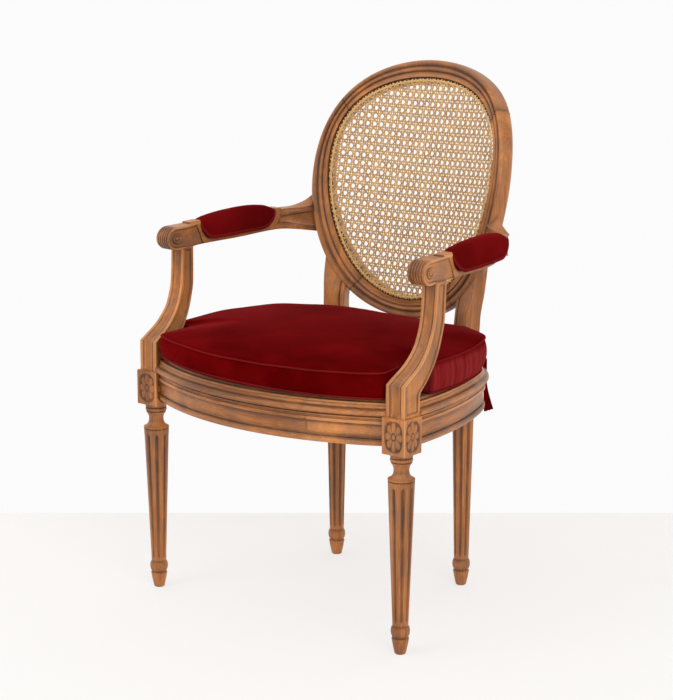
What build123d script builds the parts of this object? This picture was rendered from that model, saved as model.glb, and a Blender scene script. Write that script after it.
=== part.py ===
from build123d import *
import os
from math import asin, cos, degrees, hypot, radians, sin, sqrt

# Armchair with an oval cane back. +Z is up, the sitter faces -Y, and +X is the chair's right side
# as seen from the front. The origin is on the floor under the middle of the chair. Millimetres.

os.makedirs("parts", exist_ok=True)

# Legs in plan
front_leg_spread = 269.6  # axis of a front leg from the middle plane
rear_leg_spread = 142.6
leg_row_depth = 345.6  # from the front leg axes to the rear ones

# Turned legs: foot, collar and fluted shaft
foot_tip_radius = 9.0
foot_top_radius = 14.3
foot_height = 27.0
foot_groove_radius = 12.6
foot_groove_height = 4.0
collar_radius = 15.6
collar_height = 16.5
shaft_foot_radius = 13.0
shaft_shoulder_radius = 22.0
shaft_shoulder_height = 294.0
neck_radius = 12.8
neck_cove_radius = 15.4
neck_cove_share = 0.45  # of the neck's height
neck_height = 12.0
neck_ovolo_radius = 17.4
neck_ovolo_height = 16.0
neck_swell_radius = 16.4
neck_swell_share = 0.55  # of the ovolo's height
neck_ring_radius = 18.4
neck_ring_chamfer = 1.5
neck_ring_height = 13.7
rear_shaft_top_radius = 19.4
flute_count = 8
flute_depth = 2.2
flute_top_radius = 3.7
flute_foot_radius = 2.4
flute_margin = 11.0  # plain shaft left at each end of a flute

# Square block on top of a front leg
block_side = 45.6
block_height = 60.3
block_panel_border = 7.0
block_panel_depth = 2.2

# Seat rails
rail_lift = 9.9  # bottom of the rails above the bottom of the block
rail_height = 73.9
rail_thick = 34.0
rail_bead_height = 12.0
rail_bead_swell = 2.6
rail_groove_width = 3.0
rail_groove_depth = 1.6
rail_fascia_height = 27.0
rail_fillet_height = 8.0
rail_fillet_swell = 2.8
rail_quirk_height = 2.4
rail_roll_height = 12.6
rail_roll_swell = 9.0
rail_cove_height = 5.4
rail_overrun = 4.0  # degrees of front rail turned past the block before it is cut to it
front_bow = 77.0  # fascia ahead of the front leg axes at the middle
front_bow_at_block = 12.0  # the same where the rail meets the block
side_setback = 10.4  # side fascia behind the outer face of the block
side_radius = 645.0
side_widest = 27.0  # how far behind the front leg axes the seat is widest
corner_radius = 175.0
corner_start = 21.4  # degrees turned where the rear corner curve starts
corner_end = 68.0  # degrees turned where the back rail's curve starts

# Joinery
tenon_thick = 12.0
tenon_height = 22.0
tenon_length = 14.0
tenon_lift = 3.4  # tenon above the bottom of its rail
tenon_root = 4.0  # how far a tenon or a stile runs on inside its own piece
tenon_clearance = 0.2
peg_radius = 3.0
peg_length = 32.0
dowel_radius = 5.0
dowel_length = 36.0
dowel_depth_share = 0.55  # of the oval's thickness, behind its face
post_tenon_side = 18.0
post_tenon_length = 22.0

# Rear uprights
upright_block_side = 40.0
stile_base_width = 35.0
stile_base_thick = 34.0
stile_mid_width = 34.0
stile_mid_thick = 29.0
stile_mid_spread = 145.0
stile_mid_drop = 212.0  # below the middle of the oval, along the leaning back
stile_flare_width = 47.0
stile_flare_thick = 25.0
stile_flare_spread = 147.0
stile_flare_drop = 162.0
stile_top_width = 48.0
stile_top_thick = 23.0
stile_top_spread = 147.0
stile_top_drop = 106.0
stile_depth = 17.0  # stile's middle behind the face of the oval

# Oval back: a cylinder with its axis ahead of the sitter, leaning back
back_setback = 398.5  # middle of the oval behind the front leg axes
back_rise = 273.1  # middle of the oval above the rails
back_tilt = 11.5
back_radius = 425.0
oval_half_width = 177.2
oval_half_height = 199.4
oval_egg = 0.134  # share by which the top of the opening is wider than its middle
oval_fullness = 0.018
oval_rim_half_width = 203.0
oval_rim_half_height = 230.0
oval_rim_egg = 0.048
crest_joint_angle = 38.0
lower_joint_angle = 56.0
oval_thick = 31.0
oval_rebate_width = 9.0
oval_rebate_depth = 5.0
oval_fillet_width = 2.4
oval_cove_depth = 3.4
oval_groove_depth = 2.4
oval_groove_width = 1.6
oval_bead_swell = 2.0
oval_roll_swell = 4.0
oval_roll_drop = 4.0
oval_cove_share = 0.46  # of the moulding's width, from the opening outwards
oval_bead_share = 0.70
oval_outline_points = 24

# Cane
cane_thick = 2.4
cane_clearance = 0.2
cane_binding_width = 7.0
cane_binding_thick = 1.4
cane_hole_across = 11.0
cane_pitch = 21.5
cane_row_pitch = 23.0
cane_margin = 9.0  # solid border between the binding and the outermost holes
cane_hole_sides = 8
seat_cane_pitch = 30.0
seat_cane_row_pitch = 32.0
seat_cane_hole_across = 15.0
seat_rebate_width = 14.0
seat_rebate_depth = 5.0

# Arm posts: stump on the block, then a sweep up and back to the arm
stump_width = 37.5
stump_front = 18.0  # ahead of the leg axis
stump_rear_rise = 32.0  # rear corner of the stump above the block
sweep_rise = 52.0  # where the sweep leaves the stump's front, above the block
sweep_rear = 42.0  # rear of the post at that height, behind the leg axis
post_mid_rise = 29.0  # above the start of the sweep
post_mid_front = 26.5
post_mid_rear = 65.5
post_mid_width = 33.0
post_mid_lean = 0.4  # share of the post's lean and turn
post_upper_rise = 30.0  # above the section before, as in the two after it
post_upper_front = 50.0
post_upper_rear = 80.0
post_upper_lean = 0.6
post_width = 30.0
post_high_rise = 38.0
post_high_front = 61.5
post_high_rear = 88.5
post_high_lean = 0.8
post_top_rise = 57.0
post_top_front = 65.5
post_top_rear = 90.5
post_lean_out = 4.4  # outward shift of the post between stump and arm
post_dowel_radius = 6.0
post_dowel_length = 18.0

# Arms, measured along the arm from the middle of its scroll
arm_spread = 277.0  # the pad's middle line, level with the scroll
arm_scroll_setback = 48.0  # scroll's middle behind the front leg axes
arm_splay = 4.3  # degrees
scroll_radius = 19.0
scroll_width = 30.8
scroll_shift = 4.9  # scroll's middle inside the pad's middle line
arm_waist_width = 22.0
arm_width = 35.0
arm_widest_share = 0.55  # of the pad's length
arm_neck_width = 27.0
arm_end_height = 60.0
arm_end_flare = 2.0
arm_overrun = 12.0  # arm sawn past its seat before it is cut to it
arm_neck_shift = 9.0
arm_under_rise = 8.0
arm_stop_start = 40.0
pad_start = 65.5
pad_length = 180.0
arm_stop_height = 43.0
arm_collar_width = 9.0
arm_collar_height = 46.0
arm_core_height = 30.0
arm_core_width = 18.0
arm_shoulder_height = 9.0
arm_shoulder_rise = 6.0
arm_housing_depth = 2.4
arm_dowel_radius = 4.0
arm_dowel_length = 24.0
scroll_groove_radius = 11.0
scroll_groove_width = 2.4
scroll_groove_depth = 1.6
scroll_reed_count = 4
scroll_reed_radius = 1.7

# Arm pads
pad_width = 48.0
pad_end_width = 40.0
pad_side_height = 22.0
pad_crown_height = 57.0  # top of the pad above the underside of the arm at the scroll
pad_clearance = 0.3
pad_end_proud = 2.0  # above the stop in front of the pad
pad_rear_narrowing = 4.0
pad_front_share = 0.12  # of the pad's length, where its front roundness ends
pad_crown_share = 0.45
pad_rear_share = 0.8

# Seat cushion and its ties
cushion_inset = 2.0
cushion_clearance = 0.3
cushion_notch_rear = 68.0  # cushion reaches sideways again behind this, from the front leg axes
cushion_post_gap = 8.0
cushion_rear_setback = 342.0
cushion_rear_sagitta = 22.0
cushion_crown_height = 70.0
cushion_crown_drop = 15.0
cushion_corner_radius = 14.0
cushion_rear_corner_radius = 26.0
cushion_edge_radius = 10.0
cushion_foot_radius = 7.0
plan_slack = 1.0  # for picking out the corners of the cushion's plan
tie_thick = 2.4
tie_width = 18.0
tie_tail_drop = 96.0
tie_gap = 1.2
tie_band_height = 16.0

# Worked out from the sizes above
front_reach = front_bow + rail_roll_swell
back_lean = oval_rim_half_height * sin(radians(back_tilt))
back_reach = back_setback + back_lean + oval_thick * cos(radians(back_tilt))
front_leg_y = (front_reach - back_reach) / 2
rear_leg_y = front_leg_y + leg_row_depth
block_half = block_side / 2
block_inner = front_leg_spread - block_half
shaft_bottom = foot_height + foot_groove_height + collar_height
neck_bottom = shaft_shoulder_height + neck_height
ring_bottom = neck_bottom + neck_ovolo_height
block_bottom = ring_bottom + neck_ring_height
block_top = block_bottom + block_height
rail_bottom = block_bottom + rail_lift
rail_top = rail_bottom + rail_height
stump_rear_height = block_top + stump_rear_rise
sweep_height = block_top + sweep_rise
post_mid_height = sweep_height + post_mid_rise
post_upper_height = post_mid_height + post_upper_rise
post_high_height = post_upper_height + post_high_rise
arm_underside = post_high_height + post_top_rise
back_height = rail_top + back_rise
back_middle = Vector(0, front_leg_y + back_setback, back_height)
back_up = Vector(0, sin(radians(back_tilt)), cos(radians(back_tilt)))
back_front = Vector(0, -cos(radians(back_tilt)), sin(radians(back_tilt)))
back_plane = Plane(origin=back_middle, x_dir=(1, 0, 0), z_dir=back_front)
upright_turn = degrees(asin(rear_leg_spread / back_radius))
upright_out = Vector(cos(radians(upright_turn)), -sin(radians(upright_turn)), 0)
upright_rear = Vector(sin(radians(upright_turn)), cos(radians(upright_turn)), 0)
upright_foot = Vector(rear_leg_spread, rear_leg_y, 0)
stump_rear = block_half
stump_inner = front_leg_spread - stump_width / 2

# Seat plan: front arc, side arc, rear corner arc and back arc, each tangent to the next behind the block
front_half_chord = block_inner
front_sagitta = front_bow - front_bow_at_block
front_radius = (front_half_chord**2 + front_sagitta**2) / (2 * front_sagitta)
front_center = Vector(0, front_leg_y - front_bow + front_radius, 0)
front_half_angle = degrees(asin(front_half_chord / front_radius))
side_fascia = front_leg_spread + block_half - side_setback
side_center = Vector(side_fascia - side_radius, front_leg_y + side_widest, 0)
side_start = degrees(asin((block_half - side_widest) / side_radius))
corner_center = side_center + Vector(cos(radians(corner_start)), sin(radians(corner_start)), 0) * (
    side_radius - corner_radius
)
corner_finish = corner_center + Vector(cos(radians(corner_end)), sin(radians(corner_end)), 0) * corner_radius
back_rail_radius = corner_finish.X / cos(radians(corner_end))
back_rail_center = Vector(0, corner_finish.Y - back_rail_radius * sin(radians(corner_end)), 0)


def back_point(x, rise, proud=0.0):
    """Point of the leaning, hollow back: x across, rise up the back, proud of its face."""
    turn = asin(x / back_radius)
    forward = back_radius - sqrt(back_radius**2 - x**2) + proud * cos(turn)
    return back_middle + Vector(x - proud * sin(turn), 0, 0) + back_up * rise + back_front * forward


def oval_at(angle, half_width, half_height, egg):
    """Point (x, rise) of an egg-shaped oval, a little fuller than an ellipse and wider at the top."""
    a = radians(angle)
    rise = (sin(a) + oval_fullness * sin(3 * a)) / (1 - oval_fullness)
    across = (cos(a) - oval_fullness * cos(3 * a)) / (1 - oval_fullness)
    return half_width * across * (1 + egg * rise), half_height * rise


def oval_section(angle):
    """Plane across the oval frame at an angle, and the width of its moulding there."""
    inner_x, inner_rise = oval_at(angle, oval_half_width, oval_half_height, oval_egg)
    rim_x, rim_rise = oval_at(angle, oval_rim_half_width, oval_rim_half_height, oval_rim_egg)
    inner = back_point(inner_x, inner_rise)
    outward = back_point(rim_x, rim_rise) - inner
    turn = asin((inner_x + rim_x) / 2 / back_radius)
    facing = Vector(-sin(turn), 0, 0) + back_front * cos(turn)
    return Plane(origin=inner, x_dir=outward, z_dir=outward.cross(facing)), outward.length


def oval_moulding(angle):
    """Section of the oval's moulding: rebate, fillet, cove, groove, bead, groove and rim roll."""
    plane, width = oval_section(angle)
    floor = -oval_groove_depth
    cove_end = oval_cove_share * width
    bead_start = cove_end + oval_groove_width
    bead_end = oval_bead_share * width
    roll_start = bead_end + oval_groove_width
    with BuildSketch(plane) as moulding:
        with BuildLine():
            Polyline(
                (-oval_rebate_width, -oval_thick),
                (-oval_rebate_width, -oval_rebate_depth),
                (0, -oval_rebate_depth),
                (0, 0),
                (oval_fillet_width, 0),
            )
            ThreePointArc(
                (oval_fillet_width, 0),
                ((oval_fillet_width + cove_end) / 2, -oval_cove_depth),
                (cove_end, 0),
            )
            Polyline((cove_end, 0), (cove_end, floor), (bead_start, floor))
            ThreePointArc(
                (bead_start, floor),
                ((bead_start + bead_end) / 2, oval_bead_swell),
                (bead_end, floor),
            )
            Line((bead_end, floor), (roll_start, floor))
            ThreePointArc(
                (roll_start, floor),
                ((roll_start + width) / 2, oval_roll_swell),
                (width, -oval_roll_drop),
            )
            Polyline((width, -oval_roll_drop), (width, -oval_thick), (-oval_rebate_width, -oval_thick))
        make_face()
    return moulding.sketch


def oval_stations(first, last, count):
    """Angles spaced evenly from one joint of the oval to the next."""
    return [first + (last - first) * i / (count - 1) for i in range(count)]


def rail_section(center, angle, radius):
    """Section of a seat rail: bead, groove, fascia, fillet, quirk, roll, cove and cane rebate."""
    bead_top = rail_bottom + rail_bead_height
    fascia_bottom = bead_top + rail_groove_width
    fascia_top = fascia_bottom + rail_fascia_height
    fillet_top = fascia_top + rail_fillet_height
    roll_bottom = fillet_top + rail_quirk_height
    roll_top = roll_bottom + rail_roll_height
    cove_top = roll_top + rail_cove_height
    rebate_floor = rail_top - seat_rebate_depth
    outward = Vector(cos(radians(angle)), sin(radians(angle)), 0)
    across = Plane(origin=center + outward * radius, x_dir=outward, z_dir=outward.cross(Vector(0, 0, 1)))
    with BuildSketch(across) as section:
        with BuildLine():
            ThreePointArc((0, rail_bottom), (rail_bead_swell, (rail_bottom + bead_top) / 2), (0, bead_top))
            Polyline(
                (0, bead_top),
                (-rail_groove_depth, bead_top),
                (-rail_groove_depth, fascia_bottom),
                (0, fascia_bottom),
                (0, fascia_top),
                (rail_fillet_swell, fascia_top + rail_fillet_swell / 2),
                (rail_fillet_swell, fillet_top),
                (rail_fillet_swell / 2, fillet_top),
                (rail_fillet_swell / 2, roll_bottom),
            )
            ThreePointArc(
                (rail_fillet_swell / 2, roll_bottom),
                (rail_roll_swell, (roll_bottom + roll_top) / 2),
                (rail_fillet_swell, roll_top),
            )
            ThreePointArc(
                (rail_fillet_swell, roll_top),
                (0, (roll_top + cove_top) / 2),
                (-rail_groove_depth, cove_top),
            )
            Polyline(
                (-rail_groove_depth, cove_top),
                (-rail_groove_depth, rail_top),
                (seat_rebate_width - rail_thick, rail_top),
                (seat_rebate_width - rail_thick, rebate_floor),
                (-rail_thick, rebate_floor),
                (-rail_thick, rail_bottom),
                (0, rail_bottom),
            )
        make_face()
    return section.sketch


def tenon_face(plane):
    """Section of a rail tenon, started inside its rail."""
    with BuildSketch(plane.offset(-tenon_root)) as section:
        Rectangle(tenon_thick, tenon_height)
    return section.sketch


def mortise_face(plane):
    """Section of the mortise for a rail tenon."""
    with BuildSketch(plane) as section:
        Rectangle(tenon_thick + 2 * tenon_clearance, tenon_height + 2 * tenon_clearance)
    return section.sketch


# Where the rails' tenons start: on the faces of the block and of the upright
tenon_level = rail_bottom + tenon_lift + tenon_height / 2
front_tenon = Plane(
    origin=(block_inner, front_leg_y, tenon_level), x_dir=(0, 1, 0), z_dir=(1, 0, 0)
)
side_front_tenon = Plane(
    origin=(front_leg_spread, front_leg_y + block_half, tenon_level), x_dir=(-1, 0, 0), z_dir=(0, -1, 0)
)
upright_center = upright_foot + Vector(0, 0, tenon_level)
side_rear_tenon = Plane(
    origin=upright_center + upright_out * (upright_block_side / 2), x_dir=upright_rear, z_dir=-upright_out
)
back_tenon = Plane(
    origin=upright_center - upright_out * (upright_block_side / 2), x_dir=-upright_rear, z_dir=upright_out
)
peg_planes = [
    Plane(
        origin=upright_center
        + upright_out * side * (upright_block_side - tenon_length) / 2
        + upright_rear * (upright_block_side / 2),
        x_dir=(0, 0, 1),
        z_dir=-upright_rear,
    )
    for side in (1, -1)
]


def peg_hole(plane):
    """Section of the hole for a peg."""
    with BuildSketch(plane) as section:
        Circle(peg_radius + tenon_clearance)
    return section.sketch


# Where the arm meets the outer side of the oval: a flat housing cut across the rim
arm_way = Vector(-sin(radians(arm_splay)), cos(radians(arm_splay)), 0)
arm_out = Vector(cos(radians(arm_splay)), sin(radians(arm_splay)), 0)
arm_origin = Vector(arm_spread, front_leg_y + arm_scroll_setback, 0)
arm_side = Plane(origin=arm_origin, x_dir=arm_way, z_dir=arm_out)
arm_plan = Plane(origin=arm_origin, x_dir=arm_way, z_dir=(0, 0, 1))
arm_middle_height = arm_underside + scroll_radius
arm_end_middle = arm_underside + arm_end_height / 2
arm_joint_angle = -degrees(asin((back_height - arm_end_middle) / oval_rim_half_height))
joint_section, joint_width = oval_section(arm_joint_angle)
arm_seat = Plane(
    origin=joint_section.origin + joint_section.x_dir * (joint_width - arm_housing_depth),
    x_dir=joint_section.z_dir,
    z_dir=joint_section.x_dir,
)
arm_seat_middle = arm_seat.origin - joint_section.y_dir * (oval_thick / 2)
arm_dowel_plane = Plane(origin=arm_seat_middle, x_dir=joint_section.z_dir, z_dir=joint_section.x_dir)


# Turned legs, standing on the origin

def flute_cutter(top_height, top_radius):
    """Tapered round cutter that lies along the shaft, sunk by the flute's depth, with ball ends."""
    low_height = shaft_bottom + flute_margin + flute_foot_radius
    high_height = top_height - flute_margin - flute_top_radius
    slope = (top_radius - shaft_foot_radius) / (top_height - shaft_bottom)
    low_surface = shaft_foot_radius + slope * (low_height - shaft_bottom)
    high_surface = shaft_foot_radius + slope * (high_height - shaft_bottom)
    low_sink = flute_depth * flute_foot_radius / flute_top_radius
    low = Vector(low_surface + flute_foot_radius - low_sink, 0, low_height)
    high = Vector(high_surface + flute_top_radius - flute_depth, 0, high_height)
    run = high - low
    with BuildPart() as cutter:
        with Locations(Plane(origin=low, z_dir=run)):
            Cone(
                flute_foot_radius,
                flute_top_radius,
                run.length,
                align=(Align.CENTER, Align.CENTER, Align.MIN),
            )
        with Locations(low):
            Sphere(flute_foot_radius)
        with Locations(high):
            Sphere(flute_top_radius)
    return cutter.part


def foot_outline():
    """Outline from the axis round the foot, groove and collar to the bottom of the shaft."""
    collar_bottom = foot_height + foot_groove_height
    Polyline(
        (0, 0),
        (foot_tip_radius, 0),
        (foot_top_radius, foot_height),
        (foot_groove_radius, foot_height + foot_groove_height / 3),
        (foot_groove_radius, collar_bottom),
    )
    ThreePointArc(
        (foot_groove_radius, collar_bottom),
        (collar_radius, collar_bottom + collar_height / 2),
        (shaft_foot_radius, shaft_bottom),
    )


with BuildPart() as front_turning:
    with BuildSketch(Plane.XZ):
        with BuildLine():
            foot_outline()
            Line((shaft_foot_radius, shaft_bottom), (shaft_shoulder_radius, shaft_shoulder_height))
            ThreePointArc(
                (shaft_shoulder_radius, shaft_shoulder_height),
                (neck_cove_radius, shaft_shoulder_height + neck_height * neck_cove_share),
                (neck_radius, neck_bottom),
            )
            ThreePointArc(
                (neck_radius, neck_bottom),
                (neck_swell_radius, neck_bottom + neck_ovolo_height * neck_swell_share),
                (neck_ovolo_radius, ring_bottom),
            )
            Polyline(
                (neck_ovolo_radius, ring_bottom),
                (neck_ring_radius, ring_bottom + neck_ring_chamfer),
                (neck_ring_radius, block_bottom),
                (0, block_bottom),
                (0, 0),
            )
        make_face()
    revolve(axis=Axis.Z)
    with PolarLocations(0, flute_count):
        add(flute_cutter(shaft_shoulder_height, shaft_shoulder_radius), mode=Mode.SUBTRACT)

with BuildPart() as rear_turning:
    with BuildSketch(Plane.XZ):
        with BuildLine():
            foot_outline()
            Polyline(
                (shaft_foot_radius, shaft_bottom),
                (rear_shaft_top_radius, rail_bottom),
                (0, rail_bottom),
                (0, 0),
            )
        make_face()
    revolve(axis=Axis.Z)
    with PolarLocations(0, flute_count):
        add(flute_cutter(rail_bottom, rear_shaft_top_radius), mode=Mode.SUBTRACT)

# Front leg: turning, square block with two sunk panels, mortises for two rails and the arm post
block_middle = (block_bottom + block_top) / 2
with BuildPart() as front_leg_right:
    with Locations((front_leg_spread, front_leg_y, 0)):
        add(front_turning.part)
    with Locations((front_leg_spread, front_leg_y, block_middle)):
        Box(block_side, block_side, block_height)
    panel_planes = [
        Plane(
            origin=(front_leg_spread, front_leg_y - block_half, block_middle),
            x_dir=(1, 0, 0),
            z_dir=(0, -1, 0),
        ),
        Plane(
            origin=(front_leg_spread + block_half, front_leg_y, block_middle),
            x_dir=(0, 1, 0),
            z_dir=(1, 0, 0),
        ),
    ]
    for plane in panel_planes:
        with BuildSketch(plane):
            Rectangle(block_side - 2 * block_panel_border, block_height - 2 * block_panel_border)
        extrude(amount=-block_panel_depth, mode=Mode.SUBTRACT)
    for plane in (front_tenon, side_front_tenon):
        extrude(mortise_face(plane), amount=tenon_length + tenon_clearance, mode=Mode.SUBTRACT)
    with BuildSketch(Plane(origin=(front_leg_spread, front_leg_y, block_top), z_dir=(0, 0, -1))):
        Rectangle(post_tenon_side + 2 * tenon_clearance, post_tenon_side + 2 * tenon_clearance)
    extrude(amount=post_tenon_length + tenon_clearance, mode=Mode.SUBTRACT)

# Seat rails
with BuildPart() as front_rail:
    first_angle = -90 - front_half_angle - rail_overrun
    revolve(
        rail_section(front_center, first_angle, front_radius),
        axis=Axis(front_center, (0, 0, 1)),
        revolution_arc=2 * (front_half_angle + rail_overrun),
    )
    for side in (1, -1):
        split(bisect_by=Plane(origin=(side * stump_inner, 0, 0), z_dir=(-side, 0, 0)), keep=Keep.TOP)
    with Locations(*[(side * front_leg_spread, front_leg_y, block_middle) for side in (1, -1)]):
        Box(block_side, block_side + 2 * rail_thick, block_height, mode=Mode.SUBTRACT)
    with Locations(*[(side * front_leg_spread, front_leg_y + block_half, rail_bottom) for side in (1, -1)]):
        Box(
            block_side,
            rail_thick,
            rail_height,
            align=(Align.CENTER, Align.MIN, Align.MIN),
            mode=Mode.SUBTRACT,
        )
    extrude(tenon_face(front_tenon), amount=tenon_root + tenon_length)
    left_tenon = Plane(origin=(-block_inner, front_leg_y, tenon_level), x_dir=(0, -1, 0), z_dir=(-1, 0, 0))
    extrude(tenon_face(left_tenon), amount=tenon_root + tenon_length)

with BuildPart() as side_rail_right:
    revolve(
        rail_section(side_center, side_start, side_radius),
        axis=Axis(side_center, (0, 0, 1)),
        revolution_arc=corner_start - side_start,
    )
    revolve(
        rail_section(corner_center, corner_start, corner_radius),
        axis=Axis(corner_center, (0, 0, 1)),
        revolution_arc=corner_end - corner_start,
    )
    split(bisect_by=Plane(origin=(0, front_leg_y + block_half, 0), z_dir=(0, 1, 0)), keep=Keep.TOP)
    split(bisect_by=Plane(origin=side_rear_tenon.origin, z_dir=upright_out), keep=Keep.TOP)
    extrude(tenon_face(side_front_tenon), amount=tenon_root + tenon_length)
    extrude(tenon_face(side_rear_tenon), amount=tenon_root + tenon_length)
    extrude(peg_hole(peg_planes[0]), amount=peg_length + tenon_clearance, mode=Mode.SUBTRACT)

with BuildPart() as back_rail:
    revolve(
        rail_section(back_rail_center, corner_end, back_rail_radius),
        axis=Axis(back_rail_center, (0, 0, 1)),
        revolution_arc=2 * (90 - corner_end),
    )
    split(bisect_by=Plane(origin=back_tenon.origin, z_dir=-upright_out), keep=Keep.TOP)
    split(bisect_by=Plane.YZ, keep=Keep.TOP)
    extrude(tenon_face(back_tenon), amount=tenon_root + tenon_length)
    extrude(peg_hole(peg_planes[1]), amount=peg_length + tenon_clearance, mode=Mode.SUBTRACT)
    mirror(about=Plane.YZ)


# Oval back

def oval_piece(first, last, count):
    """One length of the oval frame between two joints, lofted through its moulding."""
    with BuildPart() as piece:
        loft([oval_moulding(angle) for angle in oval_stations(first, last, count)])
    return piece.part


def dowel_plane(angle):
    """Plane across the oval at a joint, centred on the dowel."""
    plane, width = oval_section(angle)
    middle = plane.origin + plane.x_dir * (width / 2) - plane.y_dir * (oval_thick * dowel_depth_share)
    return Plane(origin=middle, x_dir=plane.x_dir, z_dir=plane.z_dir)


joint_planes = {
    angle: dowel_plane(angle)
    for angle in (
        crest_joint_angle,
        180 - crest_joint_angle,
        180 + lower_joint_angle,
        -lower_joint_angle,
    )
}


def dowel_hole(plane):
    """Hole for a dowel of the oval, half its length to each side of the joint."""
    with Locations(plane):
        Cylinder(dowel_radius + tenon_clearance, dowel_length + 2 * tenon_clearance, mode=Mode.SUBTRACT)


with BuildPart() as crest_rail:
    add(oval_piece(crest_joint_angle, 180 - crest_joint_angle, 9))
    dowel_hole(joint_planes[crest_joint_angle])
    dowel_hole(joint_planes[180 - crest_joint_angle])

with BuildPart() as lower_back_rail:
    add(oval_piece(180 + lower_joint_angle, 360 - lower_joint_angle, 7))
    dowel_hole(joint_planes[180 + lower_joint_angle])
    dowel_hole(joint_planes[-lower_joint_angle])


def stile_section(spread, drop, width, thick):
    """Rectangle across the stile, square to the hollow back."""
    turn = asin(spread / back_radius)
    middle = back_point(spread, -drop, -stile_depth)
    across = Vector(cos(turn), 0, 0) + back_front * sin(turn)
    with BuildSketch(Plane(origin=middle, x_dir=across, z_dir=back_up)) as section:
        Rectangle(width, thick)
    return section.sketch


with BuildPart() as stile_right:
    stile_foot = upright_foot + Vector(0, 0, rail_top - tenon_root)
    with BuildSketch(Plane(origin=stile_foot, x_dir=upright_out, z_dir=(0, 0, 1))) as base:
        Rectangle(stile_base_width, stile_base_thick)
    loft(
        [
            base.sketch,
            stile_section(stile_mid_spread, stile_mid_drop, stile_mid_width, stile_mid_thick),
            stile_section(stile_flare_spread, stile_flare_drop, stile_flare_width, stile_flare_thick),
            stile_section(stile_top_spread, stile_top_drop, stile_top_width, stile_top_thick),
        ]
    )
    with BuildSketch(back_plane.offset(-back_radius / 2)):
        with BuildLine():
            middle_oval = [
                oval_at(
                    360 * i / oval_outline_points,
                    (oval_half_width + oval_rim_half_width) / 2,
                    (oval_half_height + oval_rim_half_height) / 2,
                    (oval_egg + oval_rim_egg) / 2,
                )
                for i in range(oval_outline_points)
            ]
            Spline(*middle_oval, periodic=True)
        make_face()
    extrude(amount=back_radius, mode=Mode.SUBTRACT)

with BuildPart() as rear_upright_right:
    with Locations(Location(upright_foot, (0, 0, -upright_turn))):
        add(rear_turning.part)
    block_foot = upright_foot + Vector(0, 0, rail_bottom)
    with BuildSketch(Plane(origin=block_foot, x_dir=upright_out, z_dir=(0, 0, 1))):
        Rectangle(upright_block_side, upright_block_side)
    extrude(amount=rail_height)
    add(stile_right.part)
    add(oval_piece(-lower_joint_angle, crest_joint_angle, 9))
    for plane in (side_rear_tenon, back_tenon):
        extrude(mortise_face(plane), amount=tenon_length + tenon_clearance, mode=Mode.SUBTRACT)
    for plane in peg_planes:
        extrude(peg_hole(plane), amount=peg_length + tenon_clearance, mode=Mode.SUBTRACT)
    dowel_hole(joint_planes[crest_joint_angle])
    dowel_hole(joint_planes[-lower_joint_angle])
    with BuildSketch(arm_seat):
        Rectangle(arm_end_height + 8 * arm_housing_depth, 3 * oval_thick)
    extrude(amount=4 * arm_housing_depth, mode=Mode.SUBTRACT)
    with Locations(arm_dowel_plane):
        Cylinder(
            arm_dowel_radius + tenon_clearance,
            arm_dowel_length + 2 * tenon_clearance,
            mode=Mode.SUBTRACT,
        )

# Pegs and dowels of the frame
with BuildPart() as tenon_pegs:
    for plane in peg_planes:
        with BuildSketch(plane):
            Circle(peg_radius)
        extrude(amount=peg_length)
    mirror(about=Plane.YZ)

with BuildPart() as back_dowels:
    with Locations(*joint_planes.values()):
        Cylinder(dowel_radius, dowel_length)

with BuildPart() as arm_dowels:
    with Locations(arm_dowel_plane):
        Cylinder(arm_dowel_radius, arm_dowel_length)
    mirror(about=Plane.YZ)


# Arm posts

def post_section(height, front, rear, width, lean):
    """Level rectangle across the post, shifted out and turned by a share of the arm's splay."""
    middle = Vector(front_leg_spread + lean * post_lean_out, front_leg_y + (front + rear) / 2, height)
    turn = radians(lean * arm_splay)
    with BuildSketch(Plane(origin=middle, x_dir=(cos(turn), sin(turn), 0), z_dir=(0, 0, 1))) as section:
        Rectangle(width, rear - front)
    return section.sketch


post_top_y = front_leg_y + (post_top_front + post_top_rear) / 2
post_top = Vector(front_leg_spread + post_lean_out, post_top_y, arm_underside)
with BuildPart() as arm_post_right:
    with BuildSketch(Plane(origin=(stump_inner, front_leg_y, 0), x_dir=(0, 1, 0), z_dir=(1, 0, 0))):
        with BuildLine():
            Polyline(
                (sweep_rear, sweep_height),
                (-stump_front, sweep_height),
                (-stump_front, block_top),
                (stump_rear, block_top),
                (stump_rear, stump_rear_height),
            )
            Spline(
                (stump_rear, stump_rear_height),
                (sweep_rear, sweep_height),
                tangents=((0, 1), (post_mid_rear - sweep_rear, post_mid_height - sweep_height)),
            )
        make_face()
    extrude(amount=stump_width)
    loft(
        [
            post_section(sweep_height, -stump_front, sweep_rear, stump_width, 0.0),
            post_section(post_mid_height, post_mid_front, post_mid_rear, post_mid_width, post_mid_lean),
            post_section(post_upper_height, post_upper_front, post_upper_rear, post_width, post_upper_lean),
            post_section(post_high_height, post_high_front, post_high_rear, post_width, post_high_lean),
            post_section(arm_underside, post_top_front, post_top_rear, post_width, 1.0),
        ]
    )
    with BuildSketch(Plane(origin=(front_leg_spread, front_leg_y, block_top), z_dir=(0, 0, -1))):
        Rectangle(post_tenon_side, post_tenon_side)
    extrude(amount=post_tenon_length)
    with Locations(post_top):
        Cylinder(post_dowel_radius, post_dowel_length, align=(Align.CENTER, Align.CENTER, Align.MIN))


# Arms: side outline cut to the plan outline, as a sawn arm is

def arm_place(point):
    """Distance of a point along the arm and outwards from its middle line."""
    away = point - arm_origin
    return away.dot(arm_way), away.dot(arm_out)


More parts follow.
